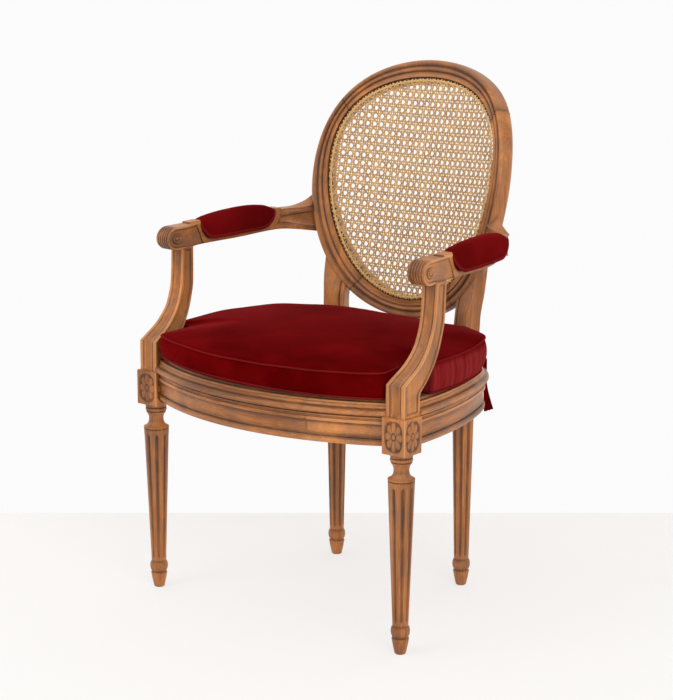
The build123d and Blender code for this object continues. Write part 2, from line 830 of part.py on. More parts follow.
pad_end = pad_start + pad_length
collar_end = pad_end + arm_collar_width
seat_inside = arm_seat.origin - joint_section.x_dir * arm_overrun
seat_front = seat_inside - joint_section.y_dir * oval_groove_depth
seat_back = seat_inside - joint_section.y_dir * (oval_thick - oval_groove_depth)
arm_tip = max(arm_place(seat_front)[0], arm_place(seat_back)[0]) + arm_overrun
arm_top = arm_underside + 2 * scroll_radius
scroll_inner = scroll_width / 2 + scroll_shift
scroll_outer = scroll_width / 2 - scroll_shift
with BuildPart() as arm_right:
    with BuildSketch(arm_side):
        with BuildLine():
            Line((0, arm_underside), (arm_stop_start, arm_underside))
            Spline(
                (arm_stop_start, arm_underside),
                (pad_start + pad_length / 2, arm_underside + arm_under_rise / 2),
                (pad_end, arm_underside + arm_under_rise),
                (arm_tip, arm_underside - arm_end_flare),
                tangents=((1, 0), (0.9, -0.4)),
            )
            Line(
                (arm_tip, arm_underside - arm_end_flare),
                (arm_tip, arm_underside + arm_end_height + arm_end_flare),
            )
            Spline(
                (arm_tip, arm_underside + arm_end_height + arm_end_flare),
                (collar_end, arm_underside + arm_collar_height),
                tangents=((-0.9, -0.3), (-1, 0)),
            )
            Polyline(
                (collar_end, arm_underside + arm_collar_height),
                (pad_end, arm_underside + arm_collar_height),
                (pad_end, arm_underside + arm_core_height + arm_shoulder_rise),
                (pad_start, arm_underside + arm_core_height),
                (pad_start, arm_underside + arm_stop_height),
                (arm_stop_start, arm_underside + arm_stop_height),
            )
            Spline(
                (arm_stop_start, arm_underside + arm_stop_height),
                (0, arm_top),
                tangents=((-1, -0.35), (-1, 0)),
            )
            ThreePointArc((0, arm_top), (-scroll_radius, arm_middle_height), (0, arm_underside))
        make_face()
    extrude(amount=3 * arm_width, both=True)
    with BuildSketch(arm_plan.offset(arm_underside - arm_end_height)):
        with BuildLine():
            half = arm_width / 2
            waist = arm_waist_width / 2
            neck = arm_neck_width / 2
            neck_place = collar_end + arm_collar_width
            widest_place = pad_start + arm_widest_share * pad_length
            in_end = (arm_place(seat_front)[0], -arm_place(seat_front)[1])
            out_end = (arm_place(seat_back)[0], -arm_place(seat_back)[1])
            front_end = -scroll_radius - arm_overrun
            Polyline(
                (scroll_radius, scroll_inner),
                (front_end, scroll_inner),
                (front_end, -scroll_outer),
                (scroll_radius, -scroll_outer),
            )
            Spline(
                (scroll_radius, scroll_inner),
                (pad_start, waist),
                (widest_place, half),
                (neck_place, arm_neck_shift + neck),
                in_end,
                tangents=((1, 0), (0.6, 0.8)),
            )
            Spline(
                (scroll_radius, -scroll_outer),
                (pad_start, -waist),
                (widest_place, -half),
                (neck_place, arm_neck_shift - neck),
                out_end,
                tangents=((1, 0), (0.6, 0.8)),
            )
            Line(in_end, out_end)
        make_face()
    extrude(amount=3 * arm_end_height, mode=Mode.INTERSECT)
    for side in (1, -1):
        with BuildSketch(arm_side.offset(side * arm_core_width / 2)):
            with BuildLine():
                Polyline(
                    (pad_start, arm_underside + arm_shoulder_height),
                    (pad_end, arm_underside + arm_shoulder_height + arm_shoulder_rise),
                    (pad_end, arm_underside + arm_end_height),
                    (pad_start, arm_underside + arm_end_height),
                    close=True,
                )
            make_face()
        extrude(amount=side * arm_width, mode=Mode.SUBTRACT)
        with BuildSketch(arm_side.offset(side * scroll_width / 2 - scroll_shift)):
            with Locations((0, arm_middle_height)):
                Circle(scroll_groove_radius)
                Circle(scroll_groove_radius - scroll_groove_width, mode=Mode.SUBTRACT)
        extrude(amount=-side * scroll_groove_depth, mode=Mode.SUBTRACT)
    scroll_middle = arm_origin - arm_out * scroll_shift + Vector(0, 0, arm_middle_height)
    with BuildSketch(Plane(origin=scroll_middle, x_dir=arm_out, z_dir=-arm_way)):
        with GridLocations(scroll_width / (scroll_reed_count + 1), 1, scroll_reed_count, 1):
            with Locations((0, scroll_radius + scroll_reed_radius / 3)):
                Circle(scroll_reed_radius)
    revolve(axis=Axis(scroll_middle, -arm_out), revolution_arc=180, mode=Mode.SUBTRACT)
    split(bisect_by=arm_seat, keep=Keep.TOP)
    with Locations(post_top):
        Cylinder(
            post_dowel_radius + tenon_clearance,
            post_dowel_length + tenon_clearance,
            align=(Align.CENTER, Align.CENTER, Align.MIN),
            mode=Mode.SUBTRACT,
        )
    with Locations(arm_dowel_plane):
        Cylinder(
            arm_dowel_radius + tenon_clearance,
            arm_dowel_length + 2 * tenon_clearance,
            mode=Mode.SUBTRACT,
        )


# Arm pads: crowned sections along the arm, hollowed for the wooden core

def pad_section(share, width, crown):
    """Section of a pad at a share of its length: flat foot, straight sides and a round crown."""
    along = pad_start + pad_clearance + share * (pad_length - 2 * pad_clearance)
    foot = arm_underside + arm_shoulder_height + share * arm_shoulder_rise + pad_clearance
    with BuildSketch(Plane(origin=arm_origin + arm_way * along, x_dir=arm_out, z_dir=-arm_way)) as section:
        with BuildLine():
            Polyline(
                (-width / 2, foot + pad_side_height),
                (-width / 2, foot),
                (width / 2, foot),
                (width / 2, foot + pad_side_height),
            )
            ThreePointArc(
                (width / 2, foot + pad_side_height),
                (0, arm_underside + crown),
                (-width / 2, foot + pad_side_height),
            )
        make_face()
    return section.sketch


with BuildPart() as arm_pad_right:
    pad_end_crown = arm_stop_height + pad_end_proud
    pad_near_crown = (pad_crown_height + pad_end_crown) / 2
    loft(
        [
            pad_section(0.0, pad_end_width, pad_end_crown),
            pad_section(pad_front_share, (pad_width + pad_end_width) / 2, pad_near_crown),
            pad_section(pad_crown_share, pad_width, pad_crown_height),
            pad_section(pad_rear_share, (pad_width + pad_end_width) / 2, pad_near_crown),
            pad_section(1.0, pad_end_width - pad_rear_narrowing, pad_end_crown),
        ]
    )
    with BuildSketch(arm_side):
        with BuildLine():
            Polyline(
                (pad_start, arm_underside),
                (pad_end, arm_underside),
                (pad_end, arm_underside + arm_core_height + arm_shoulder_rise + pad_clearance),
                (pad_start, arm_underside + arm_core_height + pad_clearance),
                close=True,
            )
        make_face()
    extrude(amount=arm_core_width / 2 + pad_clearance, both=True, mode=Mode.SUBTRACT)


# Cane of the back: a hollow sheet in the oval's rebate, with a binding strip round its edge

def oval_face(inset):
    """Face inside the oval opening, held in from its edge."""
    with BuildSketch(back_plane.offset(-back_radius / 2)) as face:
        with BuildLine():
            Spline(
                *[
                    oval_at(
                        360 * i / oval_outline_points,
                        oval_half_width - inset,
                        oval_half_height - inset,
                        oval_egg,
                    )
                    for i in range(oval_outline_points)
                ],
                periodic=True,
            )
        make_face()
    return face.sketch


def back_shell(near, far):
    """Ring of the back's own cylinder between two depths behind its face."""
    axis = Plane(origin=back_middle + back_front * back_radius, z_dir=back_up)
    height = 3 * oval_half_height
    with BuildPart() as shell:
        with Locations(axis):
            Cylinder(back_radius + far, height)
            Cylinder(back_radius + near, height, mode=Mode.SUBTRACT)
    return shell.part


def grid_inside(half_width, half_height, egg, pitch, row_pitch):
    """Points of a square grid that lie inside an egg-shaped oval."""
    rows = int(half_height // row_pitch)
    columns = int(half_width * (1 + egg) // pitch) + 1
    points = []
    for row in range(-rows, rows + 1):
        for column in range(-columns, columns + 1):
            x = column * pitch
            y = row * row_pitch
            if hypot(x / (half_width * (1 + egg * y / half_height)), y / half_height) < 1:
                points.append((x, y))
    return points


cane_far = oval_rebate_depth - cane_clearance
cane_near = cane_far - cane_thick
hole_inset = cane_binding_width + cane_margin + cane_hole_across / 2
with BuildPart() as back_cane:
    add(back_shell(cane_near, cane_far))
    extrude(oval_face(cane_clearance), amount=back_radius, mode=Mode.INTERSECT)
    with BuildSketch(back_plane.offset(-back_radius / 2)):
        holes_wide = oval_half_width - hole_inset
        holes_high = oval_half_height - hole_inset
        with Locations(*grid_inside(holes_wide, holes_high, oval_egg, cane_pitch, cane_row_pitch)):
            RegularPolygon(cane_hole_across / 2, cane_hole_sides, major_radius=False)
    extrude(amount=back_radius, mode=Mode.SUBTRACT)

with BuildPart() as back_cane_binding:
    add(back_shell(cane_near - cane_binding_thick, cane_near))
    extrude(oval_face(cane_clearance), amount=back_radius, mode=Mode.INTERSECT)
    extrude(oval_face(cane_binding_width), amount=back_radius, mode=Mode.SUBTRACT)

# Seat: plan of the rails' fascias, the cane inside them and the cushion on top
with BuildSketch() as seat_plan:
    with BuildLine():
        CenterArc((0, front_center.Y), front_radius, -90, front_half_angle)
        block_corner = Vector(block_inner, front_leg_y - front_bow_at_block)
        side_first = side_center + Vector(cos(radians(side_start)), sin(radians(side_start)), 0) * side_radius
        Line(block_corner, side_first)
        CenterArc((side_center.X, side_center.Y), side_radius, side_start, corner_start - side_start)
        CenterArc((corner_center.X, corner_center.Y), corner_radius, corner_start, corner_end - corner_start)
        CenterArc((0, back_rail_center.Y), back_rail_radius, corner_end, 90 - corner_end)
        mirror(about=Plane.YZ)
    make_face()


def post_and_stile_gaps(gap):
    """Plan of the arm stumps and the stiles on both sides, with a gap round each."""
    with BuildSketch() as gaps:
        for side in (1, -1):
            with Locations((side * front_leg_spread, front_leg_y)):
                Rectangle(stump_width + 2 * gap, 2 * (stump_rear + gap))
            with Locations(Location((side * rear_leg_spread, rear_leg_y, 0), (0, 0, -side * upright_turn))):
                Rectangle(upright_block_side + 2 * gap, upright_block_side + 2 * gap)
    return gaps.sketch


def seat_face(inset):
    """Seat plan held in from the fascias, clear of posts and stiles."""
    with BuildSketch() as face:
        add(seat_plan.sketch)
        offset(amount=-inset, mode=Mode.REPLACE)
        add(post_and_stile_gaps(cane_clearance), mode=Mode.SUBTRACT)
    return face.sketch


def binding_face():
    """Plan of the strip that follows the edge of the seat cane."""
    with BuildSketch() as ring:
        add(seat_face(seat_cane_inset))
        offset(amount=-cane_binding_width, mode=Mode.SUBTRACT)
    return ring.sketch


seat_cane_inset = rail_thick - seat_rebate_width + cane_clearance
seat_cane_floor = rail_top - seat_rebate_depth
seat_middle = (back_rail_center.Y + back_rail_radius + front_center.Y - front_radius) / 2
seat_half_depth = (back_rail_center.Y + back_rail_radius - front_center.Y + front_radius) / 2
with BuildPart() as seat_cane:
    with Locations((0, 0, seat_cane_floor)):
        add(extrude(seat_face(seat_cane_inset), amount=cane_thick, mode=Mode.PRIVATE))
    with BuildSketch(Plane.XY.offset(seat_cane_floor)):
        seat_hole_inset = rail_thick + cane_margin + seat_cane_hole_across
        holes_wide = side_fascia - seat_hole_inset
        holes_deep = seat_half_depth - seat_hole_inset
        with Locations((0, seat_middle)):
            with Locations(*grid_inside(holes_wide, holes_deep, 0.0, seat_cane_pitch, seat_cane_row_pitch)):
                Rectangle(seat_cane_hole_across, seat_cane_hole_across)
    extrude(amount=cane_thick, mode=Mode.SUBTRACT)

with BuildPart() as seat_cane_binding:
    with Locations((0, 0, seat_cane_floor + cane_thick)):
        add(extrude(binding_face(), amount=cane_binding_thick, mode=Mode.PRIVATE))

# Cushion: the seat plan notched for the posts and cut hollow along the back, crowned, with round edges
notch_inner = stump_inner - cushion_post_gap
notch_rear = front_leg_y + cushion_notch_rear
cushion_rear = front_leg_y + cushion_rear_setback
rear_radius = (rear_leg_spread**2 + cushion_rear_sagitta**2) / (2 * cushion_rear_sagitta)
crown_radius = (notch_inner**2 + cushion_crown_drop**2) / (2 * cushion_crown_drop)
cushion_bottom = rail_top + cushion_clearance
with BuildPart() as seat_cushion:
    with BuildSketch(Plane.XY.offset(cushion_bottom)) as cushion_plan:
        add(seat_plan.sketch)
        offset(amount=-cushion_inset, mode=Mode.REPLACE)
        for side in (1, -1):
            with Locations((side * (notch_inner + block_side), notch_rear - block_side * 2)):
                Rectangle(2 * block_side, 4 * block_side, mode=Mode.SUBTRACT)
        with Locations((0, cushion_rear - rear_radius)):
            Circle(rear_radius, mode=Mode.INTERSECT)
        corner_rise = (corner_radius - cushion_inset) * sin(radians(corner_start))
        corner_line = corner_center.Y + corner_rise + plan_slack
        rear_corners = cushion_plan.vertices().filter_by(lambda v: v.Y > corner_line)
        fillet(rear_corners, radius=cushion_rear_corner_radius)
        notch_corners = cushion_plan.vertices().filter_by(lambda v: v.Y < notch_rear + plan_slack)
        fillet(notch_corners, radius=cushion_corner_radius)
    extrude(amount=cushion_crown_height)
    with Locations((0, seat_middle, cushion_bottom + cushion_crown_height - crown_radius)):
        Sphere(crown_radius, mode=Mode.INTERSECT)
    fillet(seat_cushion.faces().sort_by(Axis.Z)[-1].edges(), radius=cushion_edge_radius)
    fillet(seat_cushion.faces().sort_by(Axis.Z)[0].edges(), radius=cushion_foot_radius)

# Cushion tie: a band round the stile and a tail over the rail's roll
tie_near = rear_leg_y - tie_width / 2
roll_reach = corner_radius + rail_roll_swell
tail_x = corner_center.X + sqrt(roll_reach**2 - (tie_near - corner_center.Y) ** 2) + tie_gap
stile_reach = (stile_base_width / 2 + tie_gap) / cos(radians(upright_turn))
tie_start = rear_leg_spread + stile_reach + tie_width / 2 * sin(radians(upright_turn))
tie_floor = rail_top + cushion_clearance
with BuildPart() as cushion_tie_right:
    with BuildSketch(Plane(origin=(0, rear_leg_y, 0), x_dir=(1, 0, 0), z_dir=(0, -1, 0))):
        with BuildLine():
            Polyline(
                (tie_start, tie_floor),
                (tail_x, tie_floor),
                (tail_x, rail_top - tie_tail_drop),
                (tail_x + tie_thick, rail_top - tie_tail_drop),
                (tail_x + tie_thick, tie_floor + tie_thick),
                (tie_start, tie_floor + tie_thick),
                close=True,
            )
        make_face()
    extrude(amount=tie_width / 2, both=True)
    band_foot = upright_foot + Vector(0, 0, tie_floor)
    with BuildSketch(Plane(origin=band_foot, x_dir=upright_out, z_dir=(0, 0, 1))):
        around = 2 * (tie_gap + tie_thick)
        Rectangle(stile_base_width + around, stile_base_thick + around)
        Rectangle(stile_base_width + 2 * tie_gap, stile_base_thick + 2 * tie_gap, mode=Mode.SUBTRACT)
    extrude(amount=tie_band_height)

# Export

def write(part, name):
    """Label a finished piece and write it."""
    part.label = name
    export_step(part, f"parts/{name}.step")


def write_pair(part, name):
    """Write the right-hand piece and its mirror image on the left."""
    write(part, f"{name}_right")
    with BuildPart() as twin:
        mirror(part, about=Plane.YZ)
    write(twin.part, f"{name}_left")


write_pair(front_leg_right.part, "front_leg")
write_pair(rear_upright_right.part, "rear_upright")
write(front_rail.part, "front_rail")
write_pair(side_rail_right.part, "side_rail")
write(back_rail.part, "back_rail")
write(crest_rail.part, "crest_rail")
write(lower_back_rail.part, "lower_back_rail")
write(tenon_pegs.part, "tenon_pegs")
write(back_dowels.part, "back_dowels")
write(arm_dowels.part, "arm_dowels")
write_pair(arm_post_right.part, "arm_post")
write_pair(arm_right.part, "arm")
write_pair(arm_pad_right.part, "arm_pad")
write(back_cane.part, "back_cane")
write(back_cane_binding.part, "back_cane_binding")
write(seat_cane.part, "seat_cane")
write(seat_cane_binding.part, "seat_cane_binding")
write(seat_cushion.part, "seat_cushion")
write_pair(cushion_tie_right.part, "cushion_tie")
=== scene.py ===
"""Armchair with an oval cane back, padded arms and a velvet cushion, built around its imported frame.

Run as a script in Blender. Lengths are in metres, +Z is up and the sitter faces -Y.
"""

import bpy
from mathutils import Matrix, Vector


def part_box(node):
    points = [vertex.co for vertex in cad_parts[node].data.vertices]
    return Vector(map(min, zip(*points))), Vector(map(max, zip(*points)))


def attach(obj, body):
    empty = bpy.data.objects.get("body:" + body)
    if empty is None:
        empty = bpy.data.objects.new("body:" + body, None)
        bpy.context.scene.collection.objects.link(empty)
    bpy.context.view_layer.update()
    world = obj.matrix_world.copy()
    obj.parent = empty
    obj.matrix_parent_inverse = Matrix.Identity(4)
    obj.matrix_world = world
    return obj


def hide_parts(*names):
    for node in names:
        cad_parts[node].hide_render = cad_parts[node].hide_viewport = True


bl_info = {
    "name": "Oval cane armchair",
    "version": (1, 0, 0),
    "blender": (4, 5, 0),
    "location": "View3D > Sidebar > Armchair",
    "description": "Builds the wood, cane and velvet of an armchair around its packed frame",
    "category": "Object",
}

import math

import bmesh
import bpy
import numpy as np
from bpy.props import FloatProperty, FloatVectorProperty, PointerProperty

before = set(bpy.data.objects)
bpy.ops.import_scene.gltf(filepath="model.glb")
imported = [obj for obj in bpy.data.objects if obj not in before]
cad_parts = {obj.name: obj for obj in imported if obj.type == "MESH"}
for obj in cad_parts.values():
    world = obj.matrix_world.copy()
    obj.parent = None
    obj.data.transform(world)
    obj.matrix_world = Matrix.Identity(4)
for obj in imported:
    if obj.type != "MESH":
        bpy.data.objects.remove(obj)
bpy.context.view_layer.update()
MM = 0.001
UP = np.array([0.0, 0.0, 1.0])
ACROSS = np.array([1.0, 0.0, 0.0])

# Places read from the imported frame
LEG_LOW, LEG_HIGH = (np.array(corner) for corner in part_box("front_leg_right"))
RAIL_BOTTOM, RAIL_TOP = (corner[2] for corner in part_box("front_rail"))
CUSHION_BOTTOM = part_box("seat_cushion")[0][2]
LEG_X, LEG_Y = ((LEG_LOW + LEG_HIGH) / 2)[:2]
BLOCK_SIDE = LEG_HIGH[0] - LEG_LOW[0]
BLOCK_TOP = LEG_HIGH[2]

# Legs
REAR_LEG_X = 142.6 * MM
REAR_LEG_Y = LEG_Y + 345.6 * MM
BLOCK_BOTTOM = BLOCK_TOP - 60.3 * MM
SHAFT_BOTTOM = 47.5 * MM
FRONT_SHAFT_TOP = 291.0 * MM
FLUTES = 8
FLUTE_COLUMNS = 20  # columns of the mesh for each flute
UPRIGHT_BLOCK_SIDE = 40.0 * MM
CHAMFER = 0.7 * MM  # along the edges of the square blocks
ROSETTE_HALF_WIDTH = 17.0 * MM
ROSETTE_HALF_HEIGHT = 24.0 * MM

# Hollow back: a cylinder that leans back, with its axis ahead of it
BACK_RADIUS = 425.0 * MM
BACK_TILT = math.radians(11.5)
BACK_MIDDLE = np.array([0.0, LEG_Y + 398.5 * MM, RAIL_TOP + 273.1 * MM])
BACK_UP = np.array([0.0, math.sin(BACK_TILT), math.cos(BACK_TILT)])
BACK_FRONT = np.array([0.0, -math.cos(BACK_TILT), math.sin(BACK_TILT)])
OPENING = (177.2 * MM, 199.4 * MM, 0.134)  # half width, half height, share by which the top is wider
RIM = (203.0 * MM, 230.0 * MM, 0.048)
OVAL_FULLNESS = 0.018
OVAL_WIDTH = 28.0 * MM  # of the moulding as it is drawn, from the opening to the rim
OVAL_RADIUS = 210.0 * MM  # about the mean
OVAL_ROW = 0.9  # degrees from one row of its mesh to the next
CREST_JOINT = 38.0  # degrees above level at the sides
LOWER_JOINT = 56.0  # degrees below it

# Seat plan: front arc, side arc and corner arc
FRONT_BOW = 77.0 * MM
FRONT_RADIUS = 501.0 * MM
FRONT_JOINT = 123.5 * MM  # where the two lengths of the front rail meet
SIDE_RADIUS = 645.0 * MM
SIDE_FASCIA = LEG_X + BLOCK_SIDE / 2 - 10.4 * MM
SIDE_CENTER = np.array([SIDE_FASCIA - SIDE_RADIUS, LEG_Y + 27.0 * MM])
CORNER_RADIUS = 175.0 * MM
CORNER_START = math.radians(21.4)
CORNER_WAY = np.array([math.cos(CORNER_START), math.sin(CORNER_START)])
CORNER_CENTER = SIDE_CENTER + (SIDE_RADIUS - CORNER_RADIUS) * CORNER_WAY
STUMP_INNER = LEG_X - 18.75 * MM  # inner face of the foot of a post

# Post, from the block to the arm
POST_FOOT = 396.0 * MM
POST_SWEEP = 448.0 * MM  # where it begins to sweep back
POST_TOP = 604.0 * MM

# Arms, measured along the arm from the middle of its scroll
ARM_SPLAY = math.radians(4.3)
ARM_WAY = np.array([-math.sin(ARM_SPLAY), math.cos(ARM_SPLAY), 0.0])
ARM_OUT = np.array([math.cos(ARM_SPLAY), math.sin(ARM_SPLAY), 0.0])
ARM_ORIGIN = np.array([277.0 * MM, LEG_Y + 48.0 * MM, 0.0])
ARM_UNDER = 602.0 * MM
ARM_END = ARM_UNDER + 30 * MM  # middle of its end at the oval
HOUSING = 2.4 * MM  # how deep the arm is let into the oval
INTO_OVAL = 12 * MM  # how far its plan lines run on there
SCROLL_RADIUS = 20.0 * MM
SCROLL_MIDDLE = ARM_UNDER + 18.3 * MM
STOP_START = 40.0 * MM  # of the raised block behind the reeds
PAD_START = 65.5 * MM
PAD_END = 241.0 * MM
FRONT_LIP = 24.0 * MM  # how far the wood takes to rise round each end of the pad
REAR_LIP = 40.0 * MM
COLLAR_END = 254.5 * MM
PAD_POWER = 2.7  # of the rounded ellipse across a pad

# Cushion and its ties
CUSHION_MIDDLE = np.array([0.0, LEG_Y + 150 * MM])
CUSHION_COLUMNS = 360
OUTLINE_SAMPLES = 2000  # points along its plan while its corners are rounded
SEAM_SHARE = 0.984  # where the seams lie between the cushion's middle and its outline
REAR_FULL = 11.0 * MM  # how much farther out the cushion reaches at its rear corners
PLUMP = 0.86  # share of the crown that the cover has before its filling swells it
SWELL_FRAMES = 20

# Cane
CANE_MARGIN = 3.0 * MM  # how far inside the opening the strands end
SHORTEST_STRAND = 12 * MM
CANE_DEPTH = -3.6 * MM
LACINGS = 84

# Stage: level directions away from the camera and across its view, and what stands there
VIEW_AHEAD = np.array([-0.6294, 0.7771, 0.0])
VIEW_BESIDE = np.array([0.7771, 0.6294, 0.0])
FLOOR_NEAR = -3.4
WALL_AWAY = 0.465
STAGE_HALF = 3.0
WALL_HIGH = 3.0
FLOOR_LIT = (0.968, 0.955, 0.945, 1.0)
FLOOR_GLOW = 0.7
WALL_LIT = (0.97, 0.97, 0.97, 1.0)
WALL_GLOW = 1.0
LAMPS = (("key", (-1.0, -2.8, 3.0), 41.0), ("fill", (3.0, -1.6, 2.2), 52.0))  # name, place and power
LAMP_SIZE = 2.6
LAMP_AIM = np.array([0.0, 0.0, 0.45])
SKY = (1.0, 0.99, 0.97, 1.0)
SKY_STRENGTH = 0.62
CAMERA_PLACE = (2.1837, -2.7214, 1.1914)
CAMERA_TURN = (math.radians(77.75), 0.0, math.radians(39.01))
SENSOR = 36.0
FOCAL_PIXELS = 2064  # focal length, in pixels of a picture whose long side is 700
PICTURE_PIXELS = 700


def length(name, description, millimetres):
    """A length property whose default is given in millimetres."""
    return FloatProperty(
        name=name, description=description, default=millimetres * MM, min=0.0, unit="LENGTH"
    )


def colour(name, description, red, green, blue):
    """A colour property with a linear default."""
    return FloatVectorProperty(
        name=name, description=description, default=(red, green, blue), min=0.0, max=1.0, subtype="COLOR"
    )


class ChairSizes(bpy.types.PropertyGroup):
    """Sizes of the carving, the cane and the upholstery."""

    flute_depth: length("Flute depth", "How deep the flutes of the legs are cut", 2.4)
    rosette_depth: length("Rosette depth", "How deep the panel round a rosette is sunk", 2.2)
    reed_depth: length("Reed depth", "How deep the reeds on the arm scrolls are cut", 2.0)
    volute_depth: length("Volute depth", "How deep the volutes on the arm scrolls are cut", 1.7)
    joint_line: length("Joint line", "Width of the dark line at the joints of the oval", 0.9)
    cane_pitch: length("Cane pitch", "From one pair of upright strands to the next", 12.5)
    cane_row_pitch: length("Cane row pitch", "From one pair of level strands to the next", 14.4)
    cane_strand: length("Cane strand", "Width of a strand of cane", 2.5)
    cane_thickness: length("Cane thickness", "Thickness of a strand of cane", 0.8)
    cushion_crown: length("Cushion crown", "Rise of the cushion's middle above its top seam", 20.0)
    cushion_swell: length("Cushion swell", "Most that the filling pushes the cover out", 7.0)
    cushion_welt: length("Cushion welt", "Radius of the sewn edge of the cushion", 1.7)
    pad_width: length("Pad width", "Width of an arm pad at its middle", 49.0)
    pad_crown: length("Pad crown", "Top of an arm pad above the underside of the arm", 55.6)
    pad_welt: length("Pad welt", "Radius of the sewn edge of an arm pad", 1.5)


class ChairColours(bpy.types.PropertyGroup):
    """Colours of the finishes."""

    wood_light: colour("Light wood", "Light streaks of the wood", 0.7, 0.264, 0.068)
    wood_dark: colour("Dark wood", "Dark streaks of the wood", 0.26, 0.09, 0.027)
    wood_dull: colour("Dull wood", "Patches where the wax has gone grey", 0.27, 0.128, 0.067)
    wood_worn: colour("Worn wood", "Edges rubbed pale", 0.76, 0.36, 0.14)
    # Glaze: dark wax, also painted shade in the grooves and recesses and painted shadow under the cushion.
    glaze_and_shade: colour("Glaze", "Dark wax in the grooves", 0.036, 0.016, 0.009)
    velvet_deep: colour("Velvet", "Velvet seen along its pile", 0.082, 0.0006, 0.001)
    velvet_light: colour("Brushed velvet", "Velvet where the pile lies over", 0.165, 0.002, 0.003)
    # Velvet painted paler as painted sheen on the pads, painted highlight on the welts and painted light on the
    # right of the boxing.
    velvet_painted_light: colour("Worn velvet", "Velvet on sewn edges and gathers", 0.31, 0.03, 0.032)
    cane_light: colour("Light cane", "Shiny skin of the cane", 0.68, 0.4, 0.14)
    cane_dark: colour("Dark cane", "Aged cane", 0.33, 0.16, 0.05)
    floor: colour("Floor", "Floor and backdrop", 0.94, 0.92, 0.905)


# Curves


def ease(t):
    """Smooth step from 0 to 1: 3 t^2 - 2 t^3, with t held between 0 and 1."""
    t = np.clip(t, 0.0, 1.0)
    return t * t * (3 - 2 * t)


def bell(value, width):
    """Bell curve: 1 where the value is zero, falling off over a width on both sides."""
    return np.exp(-((value / width) ** 2))


def arch(value, half):
    """Half circle: 1 where the value is zero, and 0 from half a width away."""
    return np.sqrt(np.clip(1 - (value / half) ** 2, 0.0, 1.0))


def smooth_run(at, places, values):
    """Values along a smooth run through given points that never overshoots them.

    Each stretch is a cubic, and the slope at a point is the harmonic mean of the slopes beside it.
    """
    places = np.asarray(places, float)
    values = np.asarray(values, float)
    step = np.diff(places)
    slope = np.diff(values) / step
    same_way = slope[:-1] * slope[1:] > 0
    total = np.where(same_way, slope[:-1] + slope[1:], 1.0)
    inner = np.where(same_way, 2 * slope[:-1] * slope[1:] / total, 0.0)
    slopes = np.concatenate([slope[:1], inner, slope[-1:]])
    k = np.clip(np.searchsorted(places, at) - 1, 0, len(step) - 1)
    t = np.clip((at - places[k]) / step[k], 0.0, 1.0)
    return (
        (1 + 2 * t) * (1 - t) ** 2 * values[k]
        + t * (1 - t) ** 2 * step[k] * slopes[k]
        + t**2 * (3 - 2 * t) * values[k + 1]
        + t**2 * (t - 1) * step[k] * slopes[k + 1]
    )


def moulding(corners, closed=True):
    """Outline through corners (x, y, bulge, steps, wax), in millimetres.

    The run to the next corner is the straight line plus bulge * 4 t (1 - t) to its right, or half an
    ellipse where the bulge is large. Wax falls off from both ends as a cube, and is negative on rubbed edges.
    Returns the points in metres and how much dark wax and painted shade lies on each.
    """
    corners = np.asarray(corners, float)
    following = np.roll(corners, -1, axis=0) if closed else corners[1:]
    points, wax = [], []
    for here, there in zip(corners, following):
        t = np.arange(int(here[3])) / int(here[3])
        way = there[:2] - here[:2]
        span = max(np.hypot(*way), 1e-9)
        right = np.array([way[1], -way[0]]) / span
        along, swell = t, 4 * t * (1 - t)
        if abs(here[2]) > 0.35 * span:
            along, swell = (1 - np.cos(np.pi * t)) / 2, np.sin(np.pi * t)
        points.append(here[:2] + np.outer(along, way) + np.outer(here[2] * swell, right))
        wax.append(here[4] * (1 - along) ** 3 + there[4] * along**3)
    if not closed:
        points.append(corners[-1:, :2])
        wax.append(corners[-1:, 4])
    return np.concatenate(points) * MM, np.concatenate(wax)


def oval_at(angle, shape):
    """Point (x, rise) of an egg-shaped oval at an angle in degrees.

    An ellipse with a little of its third harmonic, and its width grows with height by the egg share.
    """
    half_width, half_height, egg = shape
    a = np.radians(angle)
    rise = (np.sin(a) + OVAL_FULLNESS * np.sin(3 * a)) / (1 - OVAL_FULLNESS)
    across = (np.cos(a) - OVAL_FULLNESS * np.cos(3 * a)) / (1 - OVAL_FULLNESS)
    return half_width * across * (1 + egg * rise), half_height * rise


def back_point(x, rise, proud=0.0):
    """Point of the back: x across, rise up the lean, proud of the cylinder's face towards its axis."""
    x, rise, proud = np.broadcast_arrays(np.asarray(x, float), rise, proud)
    turn = np.arcsin(x / BACK_RADIUS)
    forward = BACK_RADIUS * (1 - np.cos(turn)) + proud * np.cos(turn)
    side = np.zeros(x.shape + (3,))
    side[..., 0] = x - proud * np.sin(turn)
    return BACK_MIDDLE + side + rise[..., None] * BACK_UP + forward[..., None] * BACK_FRONT


def back_ways(turn):
    """Directions across the back and out of its face, where its cylinder has turned by an angle."""
    cos, sin = np.cos(turn)[..., None], np.sin(turn)[..., None]
    return cos * ACROSS + sin * BACK_FRONT, cos * BACK_FRONT - sin * ACROSS


# Meshes


def at_height(plan, z):
    """Points from level places and their heights."""
    return np.concatenate([plan, np.broadcast_to(z, plan.shape[:-1])[..., None]], -1)


def square_ring(across, upright):
    """Loop round a square of half size 1: (u, v) along its bottom, right side, top and left side."""
    u = np.concatenate([across, np.ones(len(upright)), -across, -np.ones(len(upright))])
    v = np.concatenate([-np.ones(len(across)), upright, np.ones(len(across)), -upright])
    return u, v


def grid(points, wax=0.0, wrap_rows=False, caps=True):
    """A grid of points for a mesh: rows of columns, closed round the columns.

    Where the rows don't wrap, a pole at each end closes the grid, unless it goes without caps.
    """
    points = np.asarray(points, float)
    wax = np.broadcast_to(np.asarray(wax, float), points.shape[:2])
    if caps and not wrap_rows:
        first = np.broadcast_to(points[:1].mean(axis=1, keepdims=True), points[:1].shape)
        last = np.broadcast_to(points[-1:].mean(axis=1, keepdims=True), points[-1:].shape)
        points = np.concatenate([first, points, last])
        wax = np.concatenate([wax[:1], wax, wax[-1:]])
    return {"points": points, "wax": wax, "wraps": wrap_rows}


